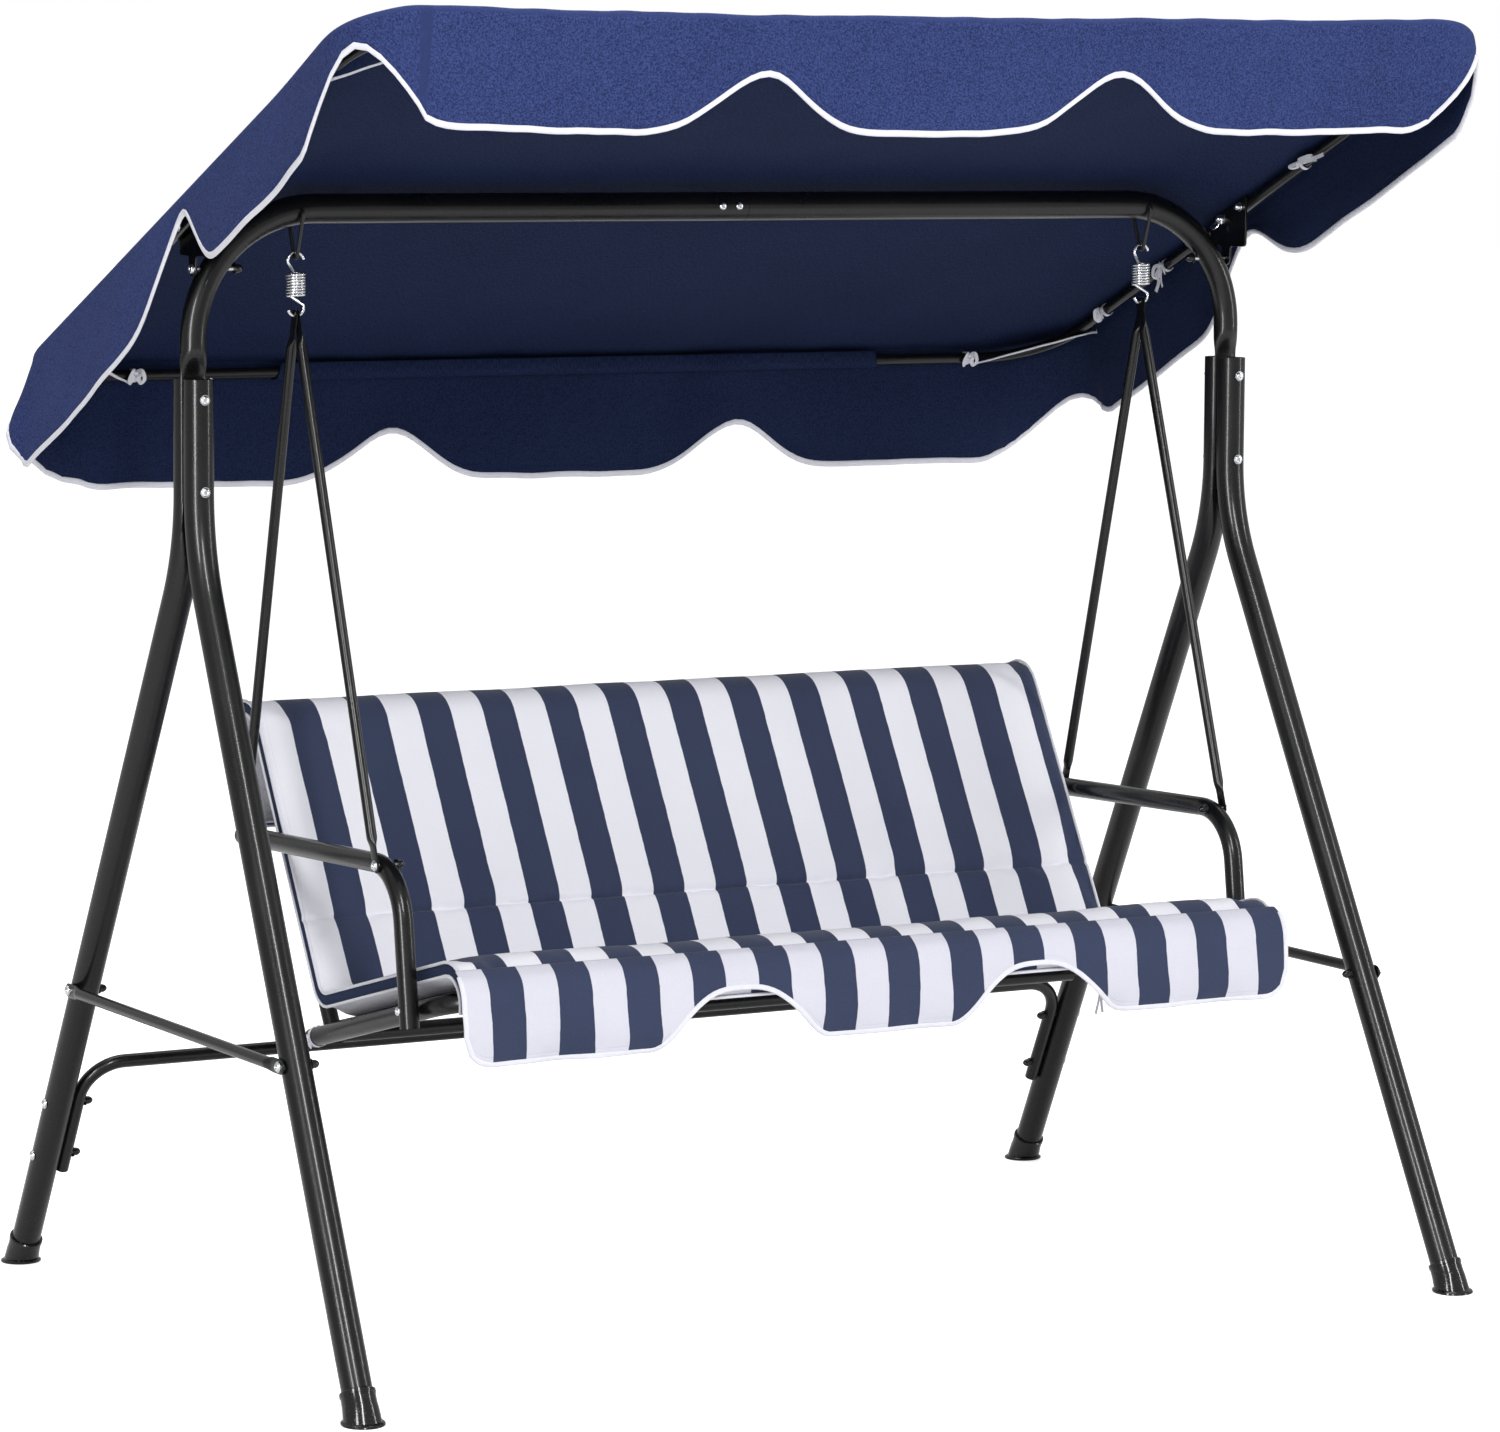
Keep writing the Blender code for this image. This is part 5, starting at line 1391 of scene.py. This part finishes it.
def tie_shells(centre, along, out, down, size, tail_length, mats, tube=CANOPY_TUBE_RADIUS):
    """Tape tied round a tube: a band, a knot, two loops and two tails."""
    radius = tube + 0.0012
    band = []
    for k in range(21):
        angle = 2 * math.pi * k / 20
        band.append(centre + (out * math.cos(angle) + along.cross(out) * math.sin(angle)) * radius)
    shells = [(*ribbon(band, 0.0055, TAPE, out), mats["tape"])]
    knot = centre + out * (radius + 0.002)
    profile = [(0.0, 0.0012), (0.0015, 0.0030), (0.0042, 0.0036), (0.0070, 0.0030), (0.0084, 0.0012)]
    shells.append((*turned(knot - along * 0.0042, along, profile, 14), mats["tape"]))
    for way, reach in ((1, size), (-1, size * 0.8)):
        tip = knot + along * (way * reach) + down * 0.010
        loop = smooth_path([knot, knot + along * (way * reach * 0.55) + out * 0.006, tip + out * 0.003,
                            tip - along * (way * 0.004) - out * 0.002 + down * 0.004,
                            knot + along * (way * reach * 0.45) - out * 0.001 + down * 0.006,
                            knot + down * 0.002], 6)
        shells.append((*ribbon(loop, 0.0052, TAPE, out), mats["tape"]))
        tail = smooth_path([knot, knot + along * (way * 0.006) + down * (tail_length * 0.3) + out * 0.003,
                            knot + along * (way * 0.003) + down * (tail_length * 0.65),
                            knot + along * (way * 0.009) + down * tail_length], 6)
        shells.append((*ribbon(tail, 0.0050, TAPE, out), mats["tape"]))
    return shells


def make_canopy_ties(mats):
    """Tapes that tie the cover to its frame: three along each side and one at each rear corner."""
    down = Vector((0, 0.1, -1)).normalized()
    along_side = canopy_point(0, 1, 0) - canopy_point(0, 0, 0)
    pieces = []
    for side in SIDES:
        inward = Vector((-side, 0, 0))
        ties = []
        for label, s, size, tail in SIDE_TIES:
            drop = (down * 0.25 - along_side if label == "front" else down).normalized()
            centre = canopy_point(side * CANOPY_TUBE_X, s, 0)
            ties.append((label, tie_shells(centre, along_side, inward, drop, size, tail, mats)))
        centre = canopy_point(side * 0.652, CANOPY_REAR_S, 0)
        ties.append(("corner", tie_shells(centre, Vector((1, 0, 0)), -along_side, down, 0.012, 0.014, mats)))
        for label, shells in ties:
            name = f"canopy_tie_{label}_{SIDE_NAME[side]}"
            pieces.append(build(name, shells, "canopy", (), 50))
    return pieces


# ---------------------------------------------------------------- seat cloth
def unit(pair_from, pair_to):
    return (Vector(pair_to) - Vector(pair_from)).normalized()


def seat_line(offset):
    """Seat and back profile in YZ, at a distance in front of the frame's axes."""
    seat_run = unit(SEAT_FRONT, SEAT_REAR)
    seat_up = Vector((-seat_run.y, seat_run.x))
    back_run = unit(BACK_LOW, BACK_TOP)
    back_front = Vector((-back_run.y, back_run.x))
    seat_start = Vector(SEAT_FRONT) + seat_up * offset
    back_start = Vector(BACK_LOW) + back_front * offset
    reach = (back_start - seat_start).cross(back_run) / seat_run.cross(back_run)
    crease = seat_start + seat_run * reach
    top = Vector(BACK_TOP) + back_front * offset
    return seat_start, crease, top, seat_up, back_run, back_front


def cushion_line():
    """Centre line of the cushion in YZ: front roll, seat, back, top and flap."""
    offset = SEAT_RADIUS + GAP + SLING + GAP + CUSHION / 2
    start, crease, top, seat_up, back_run, back_front = seat_line(offset)
    tilt = math.atan2(seat_up.y, seat_up.x)
    facing = math.atan2(back_front.y, back_front.x)

    def arc(centre, angles):
        y, z = centre
        return [Vector((y + offset * math.cos(a), z + offset * math.sin(a))) for a in angles]

    line = arc(SEAT_FRONT, [tilt + math.radians(120) * (18 - i) / 18 for i in range(19)])
    corners = [Vector((0, *p)) for p in (start, crease, top)]
    line += [Vector((p.y, p.z)) for p in rounded_path(corners, CUSHION_CREASE_RADIUS, 14)[1:]]
    line += arc(BACK_TOP, [facing - math.pi * i / 18 for i in range(1, 19)])
    line.append(line[-1] - back_run * FLAP_LENGTH)
    return line


def at_length(line, lengths, wanted):
    """Point on a YZ line at a distance from its start."""
    wanted = min(max(wanted, 0.0), lengths[-1])
    index = 0
    while index < len(lengths) - 2 and lengths[index + 1] < wanted:
        index += 1
    share = (wanted - lengths[index]) / max(lengths[index + 1] - lengths[index], 1e-9)
    return line[index].lerp(line[index + 1], share)


def pad_rows(total, crease_at):
    """Distances along the pad, every 9 mm, with a few more at the sewn crease."""
    count = round(total / 0.009)
    rows = [total * i / count for i in range(count + 1)]
    extra = [crease_at + d for d in (-0.006, -0.0025, 0.0, 0.0025, 0.006)]
    rows = [r for r in rows if min(abs(r - e) for e in extra) > 0.0018] + extra
    return sorted(rows)


def crease_length(line, lengths):
    """Distance along the pad to its sewn crease, on the back's front side."""
    for i, (here, after) in enumerate(zip(line, line[1:])):
        if here.y < CREASE_Z <= after.y and here.x > -0.2:
            share = (CREASE_Z - here.y) / (after.y - here.y)
            return lengths[i] + share * (lengths[i + 1] - lengths[i])
    return lengths[-1] / 2


def make_cushion(mats):
    """Thin quilted pad with a navy edge band, piping, a crease across the back and a flap."""
    line = cushion_line()
    lengths = running_length([Vector((0, *p)) for p in line])
    total = lengths[-1]
    crease_at = crease_length(line, lengths)
    rows = pad_rows(total, crease_at)
    columns = 123
    top, low, cloth_map = [], [], []
    for along in rows:
        here = at_length(line, lengths, along)
        ahead = at_length(line, lengths, along + 0.004)
        behind = at_length(line, lengths, along - 0.004)
        run = (ahead - behind).normalized()
        normal = Vector((-run.y, run.x))
        from_end = min(along, total - along)
        for k in range(columns):
            u = 2 * k / (columns - 1) - 1
            from_side = CUSHION_HALF_WIDTH * (1 - abs(u))
            crown = smooth_step(min(from_side / 0.045, 1.0)) * smooth_step(min(from_end / 0.035, 1.0))
            thick = PAD_FRONT_EDGE + (PAD_HALF - PAD_FRONT_EDGE) * crown
            under_thick = PAD_BACK_EDGE + (PAD_HALF - PAD_BACK_EDGE) * crown
            drift = STRIPE_DRIFT * (1 - smooth_step(along / 0.45))
            groove = 0.0030 * math.exp(-((along - crease_at) / 0.0032) ** 2)
            x = CUSHION_HALF_WIDTH * u - math.copysign(0.0015, u) * (abs(u) > 0.999)
            soft = 0.0012 * wave(x * 7, along * 7, 12.0) * crown
            front = here + normal * (thick - groove + soft)
            back = here - normal * under_thick
            top.append(Vector((x, front.x, front.y)))
            low.append(Vector((x, back.x, back.y)))
            cloth_map.append((x + drift, along, min(from_side, from_end)))
    ring = [i * columns + k for i, k in grid_rim(len(rows), columns)]
    offset = len(top)
    points = top + low
    cloth_map = cloth_map + [(x, along, 1.0) for x, along, _ in cloth_map]
    faces = grid_faces(len(rows), columns)
    which = [0] * len(faces) + [2] * len(faces)
    faces += [tuple(offset + v for v in reversed(f)) for f in faces]
    around = len(ring)
    mid_start = len(points)
    for index, at in enumerate(ring):
        x = points[at].x
        push = math.copysign(0.0016, x) if abs(x) > CUSHION_HALF_WIDTH - 0.004 else 0.0
        points.append((points[at] + points[at + offset]) / 2 + Vector((push, 0, 0)))
        cloth_map.append((index * 0.009, 0.0, 1.0))
    for k in range(around):
        n = (k + 1) % around
        a, b = ring[k], ring[n]
        faces.append((b, a, mid_start + k, mid_start + n))
        faces.append((mid_start + n, mid_start + k, a + offset, b + offset))
        which += [1, 1]
    cloths = [mats["stripe"], mats["gusset"], mats["back_cloth"]]
    piece = cloth_piece("cushion", points, faces, cloth_map, cloths, "seat",
                        ["seat_cushion"], thickness=0, levels=0, which=which)
    seam = set(ring) | {v + offset for v in ring} | set(range(mid_start, mid_start + around))
    sewn_rows = [i for i, along in enumerate(rows) if abs(along - crease_at) < 0.001]
    grooves = {i * columns + k for i in sewn_rows for k in range(columns)}
    puff(piece, seam | grooves, offset)
    subdivide(piece, 1)
    make_piping(piece, ring, offset, mats)


def puff(piece, pinned, under_start):
    """Inflate the pad a little by cloth simulation and keep each point within its cap."""
    rest = np.array([v.co for v in piece.data.vertices])
    group = piece.vertex_groups.new(name="seam")
    group.add(sorted(pinned), 1.0, "REPLACE")
    cloth = piece.modifiers.new("stuffing", "CLOTH")
    settings = cloth.settings
    for name, value in STUFFING.items():
        setattr(settings, name, value)
    settings.effector_weights.gravity = 0
    cloth.collision_settings.use_collision = False
    scene = bpy.context.scene
    scene.frame_start, scene.frame_end = 1, STUFFING_FRAMES
    for moment in range(1, STUFFING_FRAMES + 1):
        scene.frame_set(moment)
    shaped = piece.evaluated_get(bpy.context.evaluated_depsgraph_get()).to_mesh()
    moved = np.array([v.co for v in shaped.vertices]) - rest
    piece.modifiers.remove(cloth)
    scene.frame_set(1)
    length = np.linalg.norm(moved, axis=1)
    allowed = np.full(len(rest), PAD_CAP)
    allowed[under_start:] = PAD_UNDER_CAP
    share = np.where(length > 1e-9, np.tanh(length / allowed) * allowed / np.maximum(length, 1e-9), 0.0)
    settled = rest + moved * share[:, None]
    piece.data.vertices.foreach_set("co", settled.astype(np.float32).ravel())
    piece.data.update()


def make_piping(cushion, ring, offset, mats):
    """White piping along both seams of the cushion's edge band."""
    shells = []
    for shift in (0, offset):
        path = [cushion.data.vertices[v + shift].co.copy() for v in ring]
        cord = sweep(path, even_sections(path, 0.0021), (0, 0.3, 1), 0.0, 10, loop=True)
        shells.append((*cord, mats["tape"]))
    build("cushion_piping", shells, "seat", (), 60)


def apron_low(x):
    """Lower edge of the seat valance: three lobes, two arches, rounded ends."""
    away = abs(abs(x) - APRON_ARCH_X) / APRON_ARCH_HALF
    arch = (APRON_ARCH_Z - APRON_LOW_Z) * round_rise(away, APRON_ROUNDNESS)
    end = max(0.0, (abs(x) - (APRON_HALF_WIDTH - APRON_CORNER)) / APRON_CORNER)
    corner = APRON_CORNER * (1 - math.sqrt(max(0.0, 1 - end * end)))
    return APRON_LOW_Z + arch + corner


def make_apron(mats):
    """Scalloped valance that hangs in soft folds from the cushion's front roll."""
    low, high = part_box("seat_valance")
    y = (low.y + high.y) / 2
    reach = SEAT_FRONT[0] - y
    rows, columns = 25, 161
    points, cloth_map = [], []
    for i in range(rows):
        t = i / (rows - 1)
        for k in range(columns):
            x = APRON_HALF_WIDTH * (2 * k / (columns - 1) - 1)
            bottom = apron_low(x)
            z = APRON_SEAM_Z + (bottom - APRON_SEAM_Z) * t
            hang = max(0.0, (SEAT_FRONT[1] - z) / (SEAT_FRONT[1] - APRON_LOW_Z))
            over = z - SEAT_FRONT[1]
            roll = math.sqrt(reach * reach - over * over) - reach if over > 0 else 0.0
            fold = wave(x * 11.0, hang * 0.8, 2.2) + 0.5 * wave(x * 25.0, hang * 1.5, 5.5)
            bulge = 0.0045 * math.sin(math.pi * min(hang, 1.0)) + 0.0115 * fold * hang ** 1.2
            out = -bulge - roll - 0.002
            tuck = 0.0055 * (1 - smooth_step(t / 0.09))
            sway = 0.0035 * wave(x * 3.0, hang * 2.0, 1.1) * hang
            points.append(Vector((x + sway, y + out + tuck, z)))
            cloth_map.append((x, APRON_SEAM_Z - z, max(z - bottom, 0.0)))
    faces = grid_faces(rows, columns)
    apron = cloth_piece("seat_apron", points, faces, cloth_map, [mats["apron"]], "seat",
                        ["seat_valance"], APRON_CLOTH)
    last = rows - 1
    edge = [(i, 0) for i in range(2, last)] + [(last, k) for k in range(columns)]
    edge += [(i, columns - 1) for i in range(last - 1, 1, -1)]
    path = [points[i * columns + k] for i, k in edge]
    outs, ups = [], []
    for index, (i, k) in enumerate(edge):
        inner = points[max(i - 1, 0) * columns + min(max(k, 1), columns - 2)]
        tangent = (path[min(index + 1, len(path) - 1)] - path[max(index - 1, 0)]).normalized()
        up = inner - path[index]
        up = (up - tangent * up.dot(tangent)).normalized()
        ups.append(up)
        outs.append(up.cross(tangent).normalized())
    centres = [place + up * 0.001 for place, up in zip(path, ups)]
    band = edge_binding(centres, outs, ups, 0.0019, 0.0036, closed=False)
    trim = build("seat_apron_binding", [(*band, mats["tape"])], "seat", (), 60)


def make_slings(mats):
    """Cloth stretched over the seat's rails and in front of the back frame."""
    offset = SEAT_RADIUS + GAP + SLING / 2
    start, crease = seat_line(offset)[:2]
    rear = start + (crease - start) * 0.93
    seat_path = [start.lerp(rear, k / 12) for k in range(13)]
    offset = BACK_RADIUS + GAP + SLING / 2
    _, crease, top = seat_line(offset)[:3]
    low = crease + (top - crease) * 0.10
    back_path = [low.lerp(top, k / 13) for k in range(14)]
    seat_rests = ["seat_frame_fine", "rear_seat_rail_fine"]
    columns = 49
    for name, path, half, rests in (("seat_sling", seat_path, SEAT_SLING_HALF, seat_rests),
                                    ("back_sling", back_path, BACK_SLING_HALF, ["back_frame_fine"])):
        points, cloth_map = [], []
        lengths = running_length([Vector((0, *p)) for p in path])
        run = (path[-1] - path[0]).normalized()
        normal = Vector((-run.y, run.x))
        for place, along in zip(path, lengths):
            share = along / lengths[-1]
            for k in range(columns):
                u = 2 * k / (columns - 1) - 1
                sag = -0.006 * (1 - u ** 4) * math.sin(math.pi * share)
                crinkle = 0.0010 * wave(u * 20, share * 9, 6.6)
                here = place + normal * (sag + crinkle)
                from_edge = min(half * (1 - abs(u)), along, lengths[-1] - along)
                points.append(Vector((half * u, here.x, here.y)))
                cloth_map.append((half * u, along, from_edge))
        sheet = cloth_piece(name + "_cloth", points, grid_faces(len(path), columns), cloth_map,
                            [mats["sling"]], "seat", [name], 0.0018)


def make_seat_ties(mats):
    """Tapes that tie the cushion to the rear ends of the seat's side rails."""
    run = Vector((0, *unit(SEAT_FRONT, SEAT_REAR)))
    down = Vector((0, 0.12, -1)).normalized()
    for side in SIDES:
        centre = Vector((side * SEAT_X, *SEAT_REAR)) - run * 0.016
        shells = tie_shells(centre, run, Vector((side, 0, 0)), down, 0.014, 0.062, mats, SEAT_RADIUS)
        build("cushion_tie_" + SIDE_NAME[side], shells, "seat", (), 50)


# ---------------------------------------------------------------- assembly
def main():
    make_camera()
    make_studio()
    mats = make_materials()
    make_stand(mats)
    for side in SIDES:
        make_spring(side, mats)
    make_seat_frame(mats)
    make_canopy_frame(mats)
    make_canopy_cover(mats)
    make_slings(mats)
    make_cushion(mats)
    make_apron(mats)
    make_seat_ties(mats)


main()
